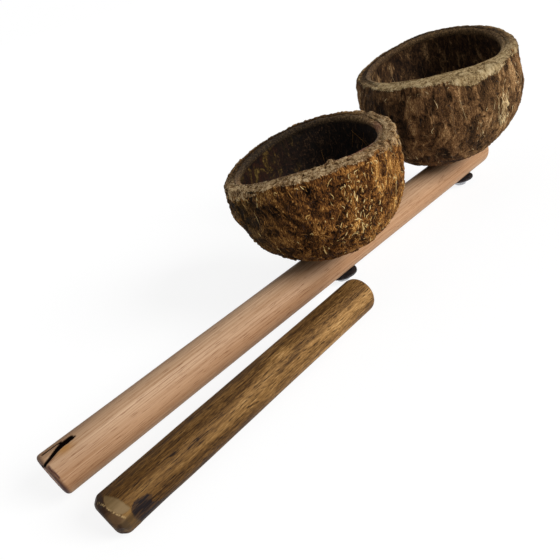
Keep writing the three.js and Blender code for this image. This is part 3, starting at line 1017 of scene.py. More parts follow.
@dataclass
class CocoCup:
    """One coconut cup: the fibrous husk, the hard shell inside it, and their place on the stick."""

    prefix: str
    bolt_along: float
    shape: CupShape
    texture: HuskTexture
    husk_slot: Slot
    husk_finish: HuskFinish
    shell_finish: ShellFinish
    lit_lobes: tuple[Lobe, ...]
    red_lobes: tuple[Lobe, ...]
    saddle_radius: float = STICK_RADIUS + SADDLE_CLEARANCE
    hole_radius: float = 3.3
    seat_radius: float = 9.3
    face_gap: float = 0.1
    husk_steps: int = 560
    husk_rows: int = 122
    shell_steps: int = 320
    shell_rows: int = 60
    flow_length: float = 122.0

    @cached_property
    def lean(self) -> Array:
        """The turn that leans the cup."""
        back = Matrix.Rotation(-math.radians(self.shape.lean_to_handle_deg), 3, "Y")
        return np.array(back @ Matrix.Rotation(math.radians(self.shape.lean_across_deg), 3, "X"))

    @cached_property
    def foot(self) -> Array:
        """The place of the cup's pole."""
        bearing, climb = np.meshgrid(np.linspace(0.0, FULL_TURN, 57), np.linspace(0.0, 0.6, 61))
        lowest = (self.shape.outer(bearing.ravel(), climb.ravel()) @ self.lean.T)[:, 2].min()
        top = STICK_AXIS + STICK_RADIUS - self.shape.saddle_depth
        return np.array((self.bolt_along + self.shape.pole_along, self.shape.pole_across, top - lowest))

    @cached_property
    def seat_level(self) -> float:
        """The level of the flat under the inner washer."""
        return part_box(self.prefix + "_inner_washer")[0].z / MM - self.face_gap

    def placed(self, places: Array) -> Array:
        """Moves places from the cup's own frame to the object's."""
        return places @ self.lean.T + self.foot

    def flow_at(self, bearing: Array, climb: Array) -> Array:
        """The place in mm that runs with the husk's fibres, from pole to rim."""
        return polar(self.shape.radius, bearing, climb * self.flow_length)

    def bedded(self, places: Array) -> Array:
        """Keeps places that would sink into the stick on its saddle."""
        across = np.clip(np.abs(places[:, 1]), 0.0, self.saddle_radius)
        saddle = STICK_AXIS + np.sqrt(self.saddle_radius**2 - across**2)
        low = (places[:, 2] < saddle) & (np.abs(places[:, 1]) < self.saddle_radius)
        places[:, 2] = np.where(low, saddle, places[:, 2])
        return places

    def masks(self, bearing: Array, cavity: Array, worn: Array, scar: Array) -> dict[str, Array]:
        """Gathers what the husk's finish reads."""
        texture = self.texture
        return {
            "cavity": cavity,
            "worn": worn,
            "pale": np.clip(lobes_at(bearing, texture.pale, texture.pale_base), 0.0, 1.0),
            "gold": np.clip(lobes_at(bearing, texture.gold), 0.0, 1.0),
            "shaded": np.clip(lobes_at(bearing, texture.shaded), 0.0, 1.0),
            # The painted shade in the scars
            "dark": scar,
        }

    def outer_row(self, climb: float) -> Row:
        """A row of the husk's outside."""

        def row(bearing: Array) -> Spots:
            """Places the row's points."""
            climbs = np.full_like(bearing, climb)
            height, cavity, scar = self.texture.relief(bearing, climbs, self.flow_length)
            height = height * smooth_step(FIRST_CLIMB, FULL_RELIEF_CLIMB, climbs)
            places = self.shape.outer(bearing, climbs)
            places += self.shape.facing(bearing, climbs, Wall.OUTER) * height[:, None]
            places = self.bedded(self.placed(places))
            below = (1.0 - climbs**2) * self.shape.height
            ragged = Grain(80, 14, self.texture.seed + 20).at(bearing, climbs)
            ragged += 0.6 * Grain(200, 40, self.texture.seed + 21).at(bearing, climbs)
            depth = lobes_at(bearing, self.texture.worn_depth, self.texture.worn_base) * (1.0 + 0.5 * ragged)
            worn = 1.0 - smooth_step(0.0, 1.0, (below - depth) / WORN_EDGE + 0.5)
            return Spots(places, self.flow_at(bearing, climbs), self.masks(bearing, cavity, worn, scar))

        return row

    def rim_point(self, bearing: Array, turn: float, across: float) -> Spots:
        """Places points on the husk's part of the sawn rim.

        Args:
            bearing: angles about the cup's axis.
            turn: how far round the outer bevel, from 0 to a quarter turn, in radians.
            across: the way over the flat rim from the bevel to the hard shell, from 0 to 1.

        Returns:
            The points.
        """
        ones = np.ones_like(bearing)
        height, cavity, scar = self.texture.relief(bearing, ones, self.flow_length)
        radial = polar(1.0, bearing, 0.0)
        outer = self.shape.outer(bearing, ones) + radial * (height * math.cos(turn))[:, None]
        seam = self.shape.wall(bearing, ones, SEAM_SHARE + SEAM_GAP)
        bevel = self.shape.rim_bevel
        inward = bevel * (1.0 - math.cos(turn))
        width = np.linalg.norm((seam - outer)[:, :2], axis=1) - bevel
        share = across if turn >= math.pi / 2 else 0.0
        span = inward + width * share
        grit = Grain(260, 9, self.texture.seed + 30).at(bearing, share * ones)
        grit += 0.8 * Grain(90, 4, self.texture.seed + 31).at(bearing, share * ones)
        chips = smooth_step(0.5, 0.9, Grain(150, 6, self.texture.seed + 32).at(bearing, share * ones))
        ragged = Grain(46, 3, self.texture.seed + 33).at(bearing, share * ones)
        lift = bevel * math.sin(turn) + self.texture.rim_roughness * (grit - 1.6 * chips) * math.sin(turn)
        marks = self.texture.rim_lift(bearing, share * (1.0 - SEAM_SHARE), self.shape.radius)
        marks += lobes_at(bearing, self.texture.rim_rise) * share
        places = outer - radial * span[:, None]
        places[:, 2] += lift + marks * math.sin(turn)
        depth = lobes_at(bearing, self.texture.worn_depth, self.texture.worn_base)
        on_top = BEVEL_WORN + TOP_WORN_GAIN * math.sin(turn) ** 2
        worn = np.maximum(on_top, DEEP_WORN * smooth_step(0.0, WORN_EDGE, depth))
        worn = np.clip(worn + 0.3 * ragged, 0.0, 1.0)
        # Painted shade on the rim: darker in its chips
        openness = np.clip(0.5 + 0.3 * grit - 0.6 * chips, 0.0, 1.0)
        blend = math.sin(turn)
        cavity = cavity * (1.0 - blend) + openness * blend
        flow = self.flow_at(bearing, ones)
        flow[:, 2] += RIM_FLOW * span
        masks = self.masks(bearing, cavity, worn, scar * (1.0 - blend))
        outer_line = PALE_LINE * smooth_step(*PALE_LINE_SHARES, share * ones) * blend
        unworn = (1.0 - masks["pale"]) * smooth_step(*UNWORN_SHARES, share * ones)
        masks["dark"] = np.maximum(masks["dark"], UNWORN_DARK * unworn)
        masks["pale"] = np.maximum(masks["pale"], outer_line)
        return Spots(self.placed(places), flow, masks)

    def seam_row(self, climb: float, share: float) -> Row:
        """A hidden row of the joint between husk and hard shell."""

        def row(bearing: Array) -> Spots:
            """Places the row's points."""
            climbs = np.full_like(bearing, climb)
            places = self.placed(self.shape.wall(bearing, climbs, share))
            return Spots(places, self.flow_at(bearing, climbs))

        return row

    def hole_row(self, radius: float, level: Rule | float) -> Row:
        """A row round the bolt, at a level that is fixed or that each point's place gives."""

        def row(bearing: Array) -> Spots:
            """Places the row's points."""
            places = polar(radius, bearing, 0.0)
            places[:, 2] = level(places) if callable(level) else level
            places[:, 0] += self.bolt_along
            return Spots(places, self.flow_at(bearing, np.zeros_like(bearing)))

        return row

    def saddle_level(self, places: Array) -> Array:
        """The level of the saddle that beds on the stick."""
        return STICK_AXIS + np.sqrt(self.saddle_radius**2 - places[:, 1] ** 2)

    def build_husk(self) -> Piece:
        """Builds the fibrous husk, from the bolt hole up over the rim and down the joint."""
        seam = SEAM_SHARE + SEAM_GAP
        rows = [self.hole_row(self.hole_radius, self.saddle_level)]
        rows += [self.outer_row(float(climb)) for climb in np.linspace(FIRST_CLIMB, 1.0, self.husk_rows)]
        for turn in np.linspace(0.0, math.pi / 2, 5)[1:]:
            rows.append(lambda bearing, turn=float(turn): self.rim_point(bearing, turn, 0.0))
        for across in np.linspace(0.0, 1.0, 9)[1:]:
            rows.append(lambda bearing, across=float(across): self.rim_point(bearing, math.pi / 2, across))
        rows += [self.seam_row(float(climb), seam) for climb in np.linspace(*SEAM_CLIMBS[::-1], SEAM_ROWS)]
        rows.append(self.hole_row(self.hole_radius, self.seam_level))
        return turned_skin(self.prefix + "_husk", rows, self.husk_steps, closed=True)

    @cached_property
    def seam_level(self) -> float:
        """The level of the joint between husk and hard shell at the bolt."""
        return self.seat_level - (1.0 - SEAM_SHARE) * 0.5 * self.shape.pole_wall

    def shell_row(self, climb: float) -> Row:
        """A row of the hard shell's inside."""

        def row(bearing: Array) -> Spots:
            """Places the row's points."""
            climbs = np.full_like(bearing, climb)
            swell = 0.35 * Grain(12, 6, self.texture.seed + 40).at(bearing, climbs)
            swell += 0.18 * Grain(110, 9, self.texture.seed + 41).at(bearing, climbs)
            chips = smooth_step(0.1, 0.7, Grain(70, 30, self.texture.seed + 42).at(bearing, climbs))
            edge = smooth_step(CHIP_CLIMB, 1.0, climbs)
            places = self.shape.inner(bearing, climbs)
            places[:, 2] += lobes_at(bearing, self.texture.rim_rise) * smooth_step(RISE_CLIMB, 1.0, climbs)
            lift = swell * smooth_step(*SWELL_CLIMBS, climbs) - CHIP_DEPTH * chips * edge
            places += self.shape.facing(bearing, climbs, Wall.INNER) * lift[:, None]
            sawn = smooth_step(SAWN_CLIMB, 1.0, climbs)
            return Spots(self.placed(places), self.flow_at(bearing, climbs), self.shell_masks(bearing, sawn))

        return row

    def shell_masks(self, bearing: Array, sawn: Array) -> dict[str, Array]:
        """Gathers what the hard shell's finish reads."""
        return {
            "sawn": sawn,
            "lit": np.clip(lobes_at(bearing, self.lit_lobes), 0.0, 1.0),
            "red": np.clip(lobes_at(bearing, self.red_lobes), 0.0, 1.0),
            "pale": np.clip(lobes_at(bearing, self.texture.pale, self.texture.pale_base), 0.0, 1.0),
        }

    def shell_rim(self, share: float) -> Row:
        """A row of the hard shell's sawn edge, from the joint at share 1 to the cup's inside at share 0."""

        def row(bearing: Array) -> Spots:
            """Places the row's points."""
            ones = np.ones_like(bearing)
            seam = self.shape.wall(bearing, ones, SEAM_SHARE)
            edge = self.shape.inner(bearing, ones)
            places = edge * (1.0 - share) + seam * share
            crown = math.sqrt(max(0.0, 1.0 - (1.0 - share) ** 2))
            chips = Grain(120, 5, self.texture.seed + 43).at(bearing, share * ones)
            chips += 0.8 * Grain(48, 2, self.texture.seed + 44).at(bearing, share * ones)
            marks = self.texture.rim_lift(bearing, 1.0 - SEAM_SHARE * share, self.shape.radius)
            places[:, 2] += lobes_at(bearing, self.texture.rim_rise)
            places[:, 2] += self.shape.rim_bevel * crown - 0.1 + (0.45 * chips + marks) * crown
            flow = self.flow_at(bearing, ones)
            flow[:, 2] += RIM_FLOW * (RIM_WIDTH - SEAM_SHARE * RIM_WIDTH * share)
            return Spots(self.placed(places), flow, self.shell_masks(bearing, ones))

        return row

    @cached_property
    def floor_samples(self) -> Array:
        """Places of the cup's floor near the bolt."""
        bearing, climb = np.meshgrid(np.linspace(0.0, FULL_TURN, 73), np.linspace(0.0, 0.35, 60))
        places = self.placed(self.shape.inner(bearing.ravel(), climb.ravel()))
        places[:, 0] -= self.bolt_along
        return places

    def floor_level(self, places: Array) -> Array:
        """The level of the cup's floor at places round the bolt."""
        gaps = np.linalg.norm(places[:, None, :2] - self.floor_samples[None, :, :2], axis=2)
        nearest = np.argsort(gaps, axis=1)[:, :4]
        weights = 1.0 / (np.take_along_axis(gaps, nearest, axis=1) + 0.05)
        levels = (self.floor_samples[nearest, 2] * weights).sum(axis=1) / weights.sum(axis=1)
        return np.maximum(levels, self.seat_level)

    def build_shell(self) -> Piece:
        """Builds the hard shell, from the joint over its sawn edge and down to the washer's seat."""
        rows = [self.shell_rim(float(share)) for share in np.linspace(1.0, 0.0, 7)]
        rows += [self.shell_row(float(climb)) for climb in np.linspace(*SHELL_CLIMBS[::-1], self.shell_rows)]
        rows.append(self.hole_row(self.seat_radius, self.floor_level))
        rows.append(self.hole_row(self.seat_radius, self.seat_level))
        rows.append(self.hole_row(self.hole_radius, self.seat_level))
        rows.append(self.hole_row(self.hole_radius, self.seam_level))
        rows += [self.seam_row(float(climb), SEAM_SHARE) for climb in np.linspace(*SEAM_CLIMBS, SEAM_ROWS)]
        return turned_skin(self.prefix + "_hard_shell", rows, self.shell_steps, closed=True)

    def build(self) -> None:
        """Builds and dresses the cup."""
        husk = self.build_husk()
        fit(husk, Body.INSTRUMENT, self.husk_slot, self.husk_finish.material(), self.prefix + "_shell")
        shell = self.build_shell()
        fit(shell, Body.INSTRUMENT, self.husk_slot, self.shell_finish.material(), self.prefix + "_shell")


@dataclass(frozen=True)
class Strand:
    """A kind of loose fibre that lies on a cup.

    Lengths, radii and lift are in mm. The fibres start near the middle bearing, or all round the cup where
    the spread is zero. tones holds the chances of the first two colours. The rest get the third.
    """

    name: str
    count: int
    lengths: Pair
    radii: Pair
    climbs: Pair
    slant_deg: float
    curl: float
    lift: float
    tones: Pair
    seed: int
    middle_deg: float = 0.0
    spread_deg: float = 0.0
    face: Wall = Wall.OUTER
    points: int = 8


@dataclass
class Coir:
    """The loose fibres of one cup, all made as one piece."""

    cup: CocoCup
    strands: tuple[Strand, ...]
    finishes: tuple[FibreFinish, ...]
    lowest_climb: float = 0.2
    lowest_rise: float = 0.1
    curl_span: float = 1.3
    tip_share: float = 0.35

    def paths(self, strand: Strand) -> tuple[Array, Array, Array]:
        """Lays out the fibres of one kind.

        Args:
            strand: the kind of fibre.

        Returns:
            The fibres' points in mm, their radii in mm, and a colour number for each fibre.
        """
        draw = np.random.default_rng(strand.seed)
        bearing = draw.uniform(0.0, FULL_TURN, strand.count)
        if strand.spread_deg:
            bearing = np.radians(draw.normal(strand.middle_deg, strand.spread_deg, strand.count))
        climb = draw.uniform(*strand.climbs, strand.count)
        length = draw.uniform(*strand.lengths, strand.count)
        slant = np.radians(draw.normal(0.0, strand.slant_deg, strand.count))
        curl = draw.normal(0.0, strand.curl, strand.count)
        thick = draw.uniform(*strand.radii, strand.count)
        raised = draw.uniform(self.lowest_rise, 1.0, strand.count) * strand.lift
        chance = draw.uniform(0.0, 1.0, strand.count)
        share = np.linspace(0.0, 1.0, strand.points)
        heading = slant[:, None] + curl[:, None] * np.sin(share * math.pi * self.curl_span)
        stride = length[:, None] / (strand.points - 1)
        run = np.cumsum(np.cos(heading) * stride, axis=1)
        drift = np.cumsum(np.sin(heading) * stride, axis=1)
        ways = np.clip(climb[:, None] - run / self.cup.flow_length, self.lowest_climb, 1.0)
        turns = bearing[:, None] + drift / self.cup.shape.radius
        shape = self.cup.shape
        flat_ways, flat_turns = ways.ravel(), turns.ravel()
        if strand.face is Wall.OUTER:
            places = shape.outer(flat_turns, flat_ways)
            height, _, _ = self.cup.texture.relief(flat_turns, flat_ways, self.cup.flow_length)
        else:
            places = shape.inner(flat_turns, flat_ways)
            height = np.zeros_like(flat_turns)
        rise = (raised[:, None] * np.sin(share * math.pi)).ravel()
        places += shape.facing(flat_turns, flat_ways, strand.face) * (height + rise)[:, None]
        places = self.cup.placed(places).reshape(strand.count, strand.points, 3)
        radii = thick[:, None] * (self.tip_share + (1.0 - self.tip_share) * np.sin(share * math.pi))
        first, second = strand.tones
        colour = np.where(chance < first, 0, np.where(chance < first + second, 1, 2))
        return places, radii, colour

    def build(self) -> None:
        """Builds and dresses the fibres."""
        name = self.cup.prefix + "_coir"
        curve = bpy.data.curves.new(name, "CURVE")
        curve.dimensions = "3D"
        curve.bevel_depth = MM
        curve.bevel_resolution = 0
        curve.use_fill_caps = True
        for finish in self.finishes:
            curve.materials.append(finish.material())
        for strand in self.strands:
            log.info("%s: %d %s", name, strand.count, strand.name)
            places, radii, colours = self.paths(strand)
            for path, radius, colour in zip(places, radii, colours):
                spline = curve.splines.new("POLY")
                spline.points.add(strand.points - 1)
                spline.points.foreach_set("co", np.column_stack((path * MM, np.ones(len(path)))).ravel())
                spline.points.foreach_set("radius", radius)
                spline.material_index = int(colour)
        holder = bpy.data.objects.new(name, curve)
        mesh = bpy.data.meshes.new_from_object(holder)
        bpy.data.objects.remove(holder)
        mesh.name = name
        fit(closed_piece(name, mesh), Body.INSTRUMENT, self.cup.husk_slot, mesh.materials[0])


# Fasteners


@dataclass
class Fastening:
    """The bolt, nut and washers that clamp one cup to the stick. Sizes are in mm."""

    prefix: str
    along: float
    zinc: Material
    # Dark steel for the outer washer: painted shade and the stick's dark reflection, where it lies under the
    # stick
    dark: Material
    bolt_radius: float = 3.0
    bolt_flats: float = 10.0
    head_height: float = 4.0
    nut_flats: float = 10.0
    bore_radius: float = 3.15
    washer_hole: float = 3.3
    pitch: float = 1.0
    thread_depth: float = 0.45
    threaded_length: float = 9.0
    edge: float = 0.25
    face_share: float = 0.95
    corner_share: float = 1.14
    chamfer_share: float = 0.99
    chamfer_edge: float = 0.12
    chamfer_slope: float = 0.577
    tip_taper: float = 0.6
    tip_edge: float = 0.1
    tip_length: float = 0.5
    thread_start: float = 0.7
    run_out: float = 0.3
    bore_inset: float = 0.4
    head_edge: float = 0.15
    head_bevel: float = 0.5
    head_hollow: float = 0.12
    washer_sharp_deg: float = 40.0
    hexagon_sharp_deg: float = 35.0
    steps: int = 96

    def ring(self, radius: Rule | float, level: Rule | float) -> Row:
        """A row about the bolt's axis from a radius and a level, each fixed or by bearing."""

        def row(bearing: Array) -> Spots:
            """Places the row's points."""
            reach = radius(bearing) if callable(radius) else np.full_like(bearing, radius)
            height = level(bearing) if callable(level) else np.full_like(bearing, level)
            places = polar(reach, bearing, height)
            flow = places.copy()
            places[:, 0] += self.along
            return Spots(places, flow)

        return row

    def hexagon(self, flats: float) -> Rule:
        """The radius of a hexagon with slightly rounded corners, by bearing."""

        def radius(bearing: Array) -> Array:
            """Gives the radius."""
            away = (bearing % (FULL_TURN / 6)) - FULL_TURN / 12
            return np.minimum(flats / 2 / np.cos(away), flats / 2 * self.corner_share)

        return radius

    def turned_off(self, flats: float, level: float, side: float) -> Rule:
        """The level at which a hexagon's wall meets its turned-off corners.

        Args:
            flats: the width across flats.
            level: the level of the block's end.
            side: 1 at an upper end, -1 at a lower end.

        Returns:
            The level by bearing.
        """
        wall = self.hexagon(flats)
        start = flats / 2 * self.chamfer_share
        edge, slope = self.chamfer_edge, self.chamfer_slope
        return lambda bearing: level - side * (edge + slope * (wall(bearing) - start))

    def thread(self, base: float, bottom: float, top: float, inward: float) -> list[Row]:
        """Rows of a screw thread.

        Args:
            base: the radius of the crests on a bolt or the bore in a nut.
            bottom: the first level.
            top: the last level.
            inward: -1 for grooves cut into a bolt, 1 for grooves cut out of a bore.

        Returns:
            The rows.
        """
        rows = []
        for level in np.arange(bottom, top, self.pitch / 6):

            def radius(bearing: Array, level: float = float(level)) -> Array:
                """Gives the radius."""
                phase = (level / self.pitch - bearing / FULL_TURN) % 1.0
                groove = 1.0 - np.abs(2.0 * phase - 1.0)
                fade = smooth_step(0.0, self.pitch, np.array(min(level - bottom, top - level)))
                return base + inward * self.thread_depth * groove * fade

            rows.append(self.ring(radius, float(level)))
        return rows

    def washer(self, kind: str, material: Material, slot: Slot) -> None:
        """Builds a washer with stamped, slightly rounded edges.

        Args:
            kind: the part of its name after the prefix.
            material: its material.
            slot: its record slot.
        """
        node = self.prefix + kind
        low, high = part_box(node)
        bottom, top = low.z / MM, high.z / MM
        outside = (high.y - low.y) / 2 / MM
        edge = self.edge
        line = [
            (self.washer_hole, bottom + edge),
            (self.washer_hole, top - edge),
            (self.washer_hole + edge / 2, top - edge / 3),
            (self.washer_hole + edge * 1.4, top),
            (outside - edge * 1.8, top),
            (outside - edge / 2, top - edge / 2),
            (outside, top - edge * 1.6),
            (outside, bottom + edge),
            (outside - edge, bottom),
            (self.washer_hole + edge, bottom),
        ]
        piece = turned_skin(node + "_disc", [self.ring(r, z) for r, z in line], self.steps, closed=True)
        piece.data.set_sharp_from_angle(angle=math.radians(self.washer_sharp_deg))
        fit(piece, Body.INSTRUMENT, slot, material, node)

    def nut(self) -> None:
        """Builds the hexagon nut with a threaded bore."""
        node = self.prefix + "_nut"
        low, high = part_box(node)
        bottom, top = low.z / MM, high.z / MM
        wall = self.hexagon(self.nut_flats)
        face = self.nut_flats / 2 * self.face_share
        lead = self.thread_depth
        rows = [
            self.ring(self.bore_radius + lead, bottom),
            self.ring(face, bottom),
            self.ring(wall, self.turned_off(self.nut_flats, bottom, -1)),
            self.ring(wall, self.turned_off(self.nut_flats, top, 1)),
            self.ring(face, top),
            self.ring(self.bore_radius + lead, top),
        ]
        inset = self.bore_inset
        rows += self.thread(self.bore_radius, bottom + inset, top - inset, 1.0)[::-1]
        piece = turned_skin(node + "_hex", rows, self.steps, closed=True)
        piece.data.set_sharp_from_angle(angle=math.radians(self.hexagon_sharp_deg))
        fit(piece, Body.INSTRUMENT, Slot.ZINC, self.zinc, node)

    def bolt(self) -> None:
        """Builds the bolt with its thread and its hexagon head."""
        node = self.prefix + "_bolt"
        low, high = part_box(node)
        bottom, top = low.z / MM, high.z / MM
        under = top - self.head_height
        wall = self.hexagon(self.bolt_flats)
        face = self.bolt_flats / 2 * self.face_share
        rows = [
            self.ring(0.0, bottom),
            self.ring(self.bolt_radius - self.tip_taper, bottom),
            self.ring(self.bolt_radius - self.tip_edge, bottom + self.tip_length),
        ]
        thread_end = bottom + self.threaded_length
        rows += self.thread(self.bolt_radius, bottom + self.thread_start, thread_end, -1.0)
        rows += [
            self.ring(self.bolt_radius, thread_end + self.run_out),
            self.ring(self.bolt_radius, under),
            self.ring(face, under),
            self.ring(wall, under + self.head_edge),
            self.ring(wall, self.turned_off(self.bolt_flats, top, 1)),
            self.ring(face, top),
            self.ring(face - self.head_bevel, top - self.head_hollow),
            self.ring(0.0, top - self.head_hollow),
        ]
        piece = turned_skin(node + "_turned", rows, self.steps, closed=False)
        piece.data.set_sharp_from_angle(angle=math.radians(self.hexagon_sharp_deg))
        fit(piece, Body.INSTRUMENT, Slot.ZINC, self.zinc, node)

    def build(self) -> None:
        """Builds and dresses all four pieces."""
        self.bolt()
        self.nut()
        self.washer("_inner_washer", self.zinc, Slot.ZINC)
        # The outer washer's dark steel is painted shade and the stick's dark reflection
        self.washer("_outer_washer", self.dark, Slot.DARK_STEEL)


# Sticks


@dataclass
class HandleStick:
    """The round stick that carries the cups, with a resin-filled crack at its handle end.

    Marks are places along the stick from its end in mm, each with a bearing in degrees. A reach holds the
    distances in mm from a mark's line at which it is gone and at which it is full. planed and sawn are the
    heights in mm that the tools left.
    """

    radius: float = STICK_RADIUS
    length: float = 476.0
    end_along: float = -256.0
    axis_height: float = STICK_AXIS
    end_round: float = 2.6
    far_round: float = 6.0
    slant_across: float = 0.05
    slant_up: float = -0.12
    detailed_length: float = 32.0
    steps: int = 232
    crack: Marks = (
        (-1.5, -24.0), (1.0, -22.0), (4.0, -18.0), (7.1, -13.0), (9.8, -9.0), (12.8, -6.0), (15.3, -6.0),
        (18.1, -5.0),
    )
    crack_widths: tuple[float, ...] = (2.0, 2.1, 2.3, 2.8, 3.5, 4.2, 4.6, 4.0)
    branch: Marks = ((2.1, 7.0), (5.5, 7.0), (9.4, 7.0), (13.0, 5.0))
    slit: Marks = ((18.0, -12.0), (20.3, -10.0))
    tear: Marks = ((-0.1, -33.0), (-0.1, -43.0), (0.2, -55.0), (0.6, -69.0))
    stain_middle: Pair = (12.0, -22.0)
    end_crack: Marks = ((-5.4, 13.4), (3.0, 7.2), (10.0, 1.9))
    resin_edge: float = 0.25
    resin_hollow: float = 0.55
    stained: float = 0.75
    scorched: float = 0.95
    torn: float = 0.8
    # The top, where the painted shade on the end's edge is weaker
    unscorched: Lobe = Lobe(0.0, 60.0, 0.45)
    end_scorched: float = 0.85
    end_resin_rise: float = 0.5
    sawn: float = 0.08
    branch_reach: Pair = (1.1, 0.6)
    slit_reach: Pair = (0.9, 0.4)
    tear_reach: Pair = (0.5, 0.15)
    stain_size: Pair = (5.0, 2.6)
    scorch_reach: Pair = (2.8, 0.5)
    end_scorch_radii: Pair = (5.0, 10.5)
    planed: float = 0.07
    # Painted shade on the side turned from the light
    cool: Lobe = Lobe(45.0, 48.0, 0.7)
    warm: Lobe = Lobe(-92.0, 40.0, 0.5)
    greyed_length: float = 60.0
    greyed_share: float = 0.35

    def gap_to(self, along: Array, bearing: Array, line: Sequence[Sequence[float]]) -> tuple[Array, Array]:
        """Measures the distance to a line of marks over the stick's surface, and the place along the line."""
        corners = [(place, math.radians(turn) * self.radius) for place, turn in line]
        return distance_to_line(along, away_from(bearing, 0.0) * self.radius, corners)

    def on_side(self, along: Array, bearing: Array, square: float) -> dict[str, Array]:
        """Works out the marks on the stick's side.

        Args:
            along: places along the stick.
            bearing: bearings about it.
            square: the row's distance from the slanted end.

        Returns:
            The named marks.
        """
        gap, corner = self.gap_to(along, bearing, self.crack)
        width = np.interp(corner, np.arange(len(self.crack_widths)), self.crack_widths)
        resin = smooth_step(self.resin_edge, -self.resin_edge, gap - width / 2)
        for line, reach in ((self.branch, self.branch_reach), (self.slit, self.slit_reach)):
            resin = np.maximum(resin, smooth_step(*reach, self.gap_to(along, bearing, line)[0]))
        tear = smooth_step(*self.tear_reach, self.gap_to(along, bearing, self.tear)[0])
        middle, turn = self.stain_middle
        stain_length, stain_width = self.stain_size
        aside = away_from(bearing, turn) * self.radius / stain_width
        stain = np.exp(-(((along - middle) / stain_length) ** 2) - aside**2)
        # Painted shade on the rounded edge at the handle end, weaker on top
        under = 1.0 - lobes_at(bearing, (self.unscorched,))
        scorch = under * smooth_step(*self.scorch_reach, np.full_like(along, square))
        # Greyer and darker towards the handle end
        greyed = self.greyed_share * smooth_step(self.greyed_length, 0.0, along)
        return {
            "resin": resin,
            "stain": self.stained * stain,
            "scorch": np.clip(self.scorched * scorch + self.torn * tear, 0.0, 1.0),
            "cool": np.clip(lobes_at(bearing, (self.cool,)) + greyed, 0.0, 1.0),
            "warm": lobes_at(bearing, (self.warm,)),
        }

    def side_row(self, square: float, radius: float) -> Row:
        """A row of the stick's side, at a distance from the slanted end."""

        def row(bearing: Array) -> Spots:
            """Places the row's points."""
            fade = smooth_step(self.detailed_length, 0.0, np.array(square))
            along = square + self.slant(bearing, radius) * fade
            masks = self.on_side(along, bearing, square)
            planed = self.planed * Grain(14, 9, 401).at(bearing, along / self.length)
            reach = radius + planed - self.resin_hollow * masks["resin"]
            return Spots(self.placed(along, reach, bearing), self.flow(along, reach, bearing), masks)

        return row

    def end_row(self, radius: float) -> Row:
        """A row of the sawn face at the handle end."""

        def row(bearing: Array) -> Spots:
            """Places the row's points."""
            across = radius * np.sin(bearing)
            up = radius * np.cos(bearing)
            gap, _ = distance_to_line(across, up, self.end_crack)
            resin = smooth_step(*self.branch_reach, gap)
            reach = np.full_like(bearing, radius)
            saw = self.sawn * Grain(90, 9, 402).at(bearing, reach / self.radius)
            along = self.slant(bearing, radius) + self.end_resin_rise * resin
            along = along + saw * smooth_step(0.0, 4.0, reach)
            # A darker ring on the sawn face
            scorch = self.end_scorched * smooth_step(*self.end_scorch_radii, reach)
            masks = {"resin": resin, "end": np.ones_like(bearing), "scorch": scorch}
            return Spots(self.placed(along, radius, bearing), self.flow(along, radius, bearing), masks)

        return row

    def slant(self, bearing: Array, radius: float) -> Array:
        """How far along the slanted end lies at a radius."""
        return radius * (self.slant_across * np.sin(bearing) + self.slant_up * np.cos(bearing))

    def placed(self, along: Array, radius: Array | float, bearing: Array) -> Array:
        """Moves places on the stick to the object's frame."""
        across = radius * np.sin(bearing)
        up = radius * np.cos(bearing)
        return np.stack((self.end_along + along, across, self.axis_height + up), axis=-1)

    def flow(self, along: Array, radius: Array | float, bearing: Array) -> Array:
        """The place in mm that runs with the grain."""
        return np.stack((along, radius * np.sin(bearing), radius * np.cos(bearing)), axis=-1)

    def build(self) -> None:
        """Builds and dresses the stick."""
        face = self.radius - self.end_round
        rows = [self.end_row(float(radius)) for radius in np.linspace(0.0, face, 28)]
        for turn in np.linspace(0.0, math.pi / 2, 7)[1:-1]:
            square = self.end_round * (1.0 - math.cos(turn))
            rows.append(self.side_row(square, face + self.end_round * math.sin(turn)))
        plain_end = self.length - self.far_round
        near = np.linspace(self.end_round, self.detailed_length, 66)
        far = np.linspace(self.detailed_length, plain_end, 52)[1:]
        rows += [self.side_row(float(square), self.radius) for square in (*near, *far)]
        for turn in np.linspace(0.0, math.pi / 2, 9)[1:]:
            square = plain_end + self.far_round * math.sin(turn)
            rows.append(self.side_row(square, self.radius - self.far_round * (1.0 - math.cos(turn))))
        rows += [self.side_row(self.length, radius) for radius in (6.0, 3.0, 0.0)]
        piece = turned_skin("handle_stick_turned", rows, self.steps, closed=False)
        fit(piece, Body.INSTRUMENT, Slot.STICK, StickFinish().material(), "handle_stick")


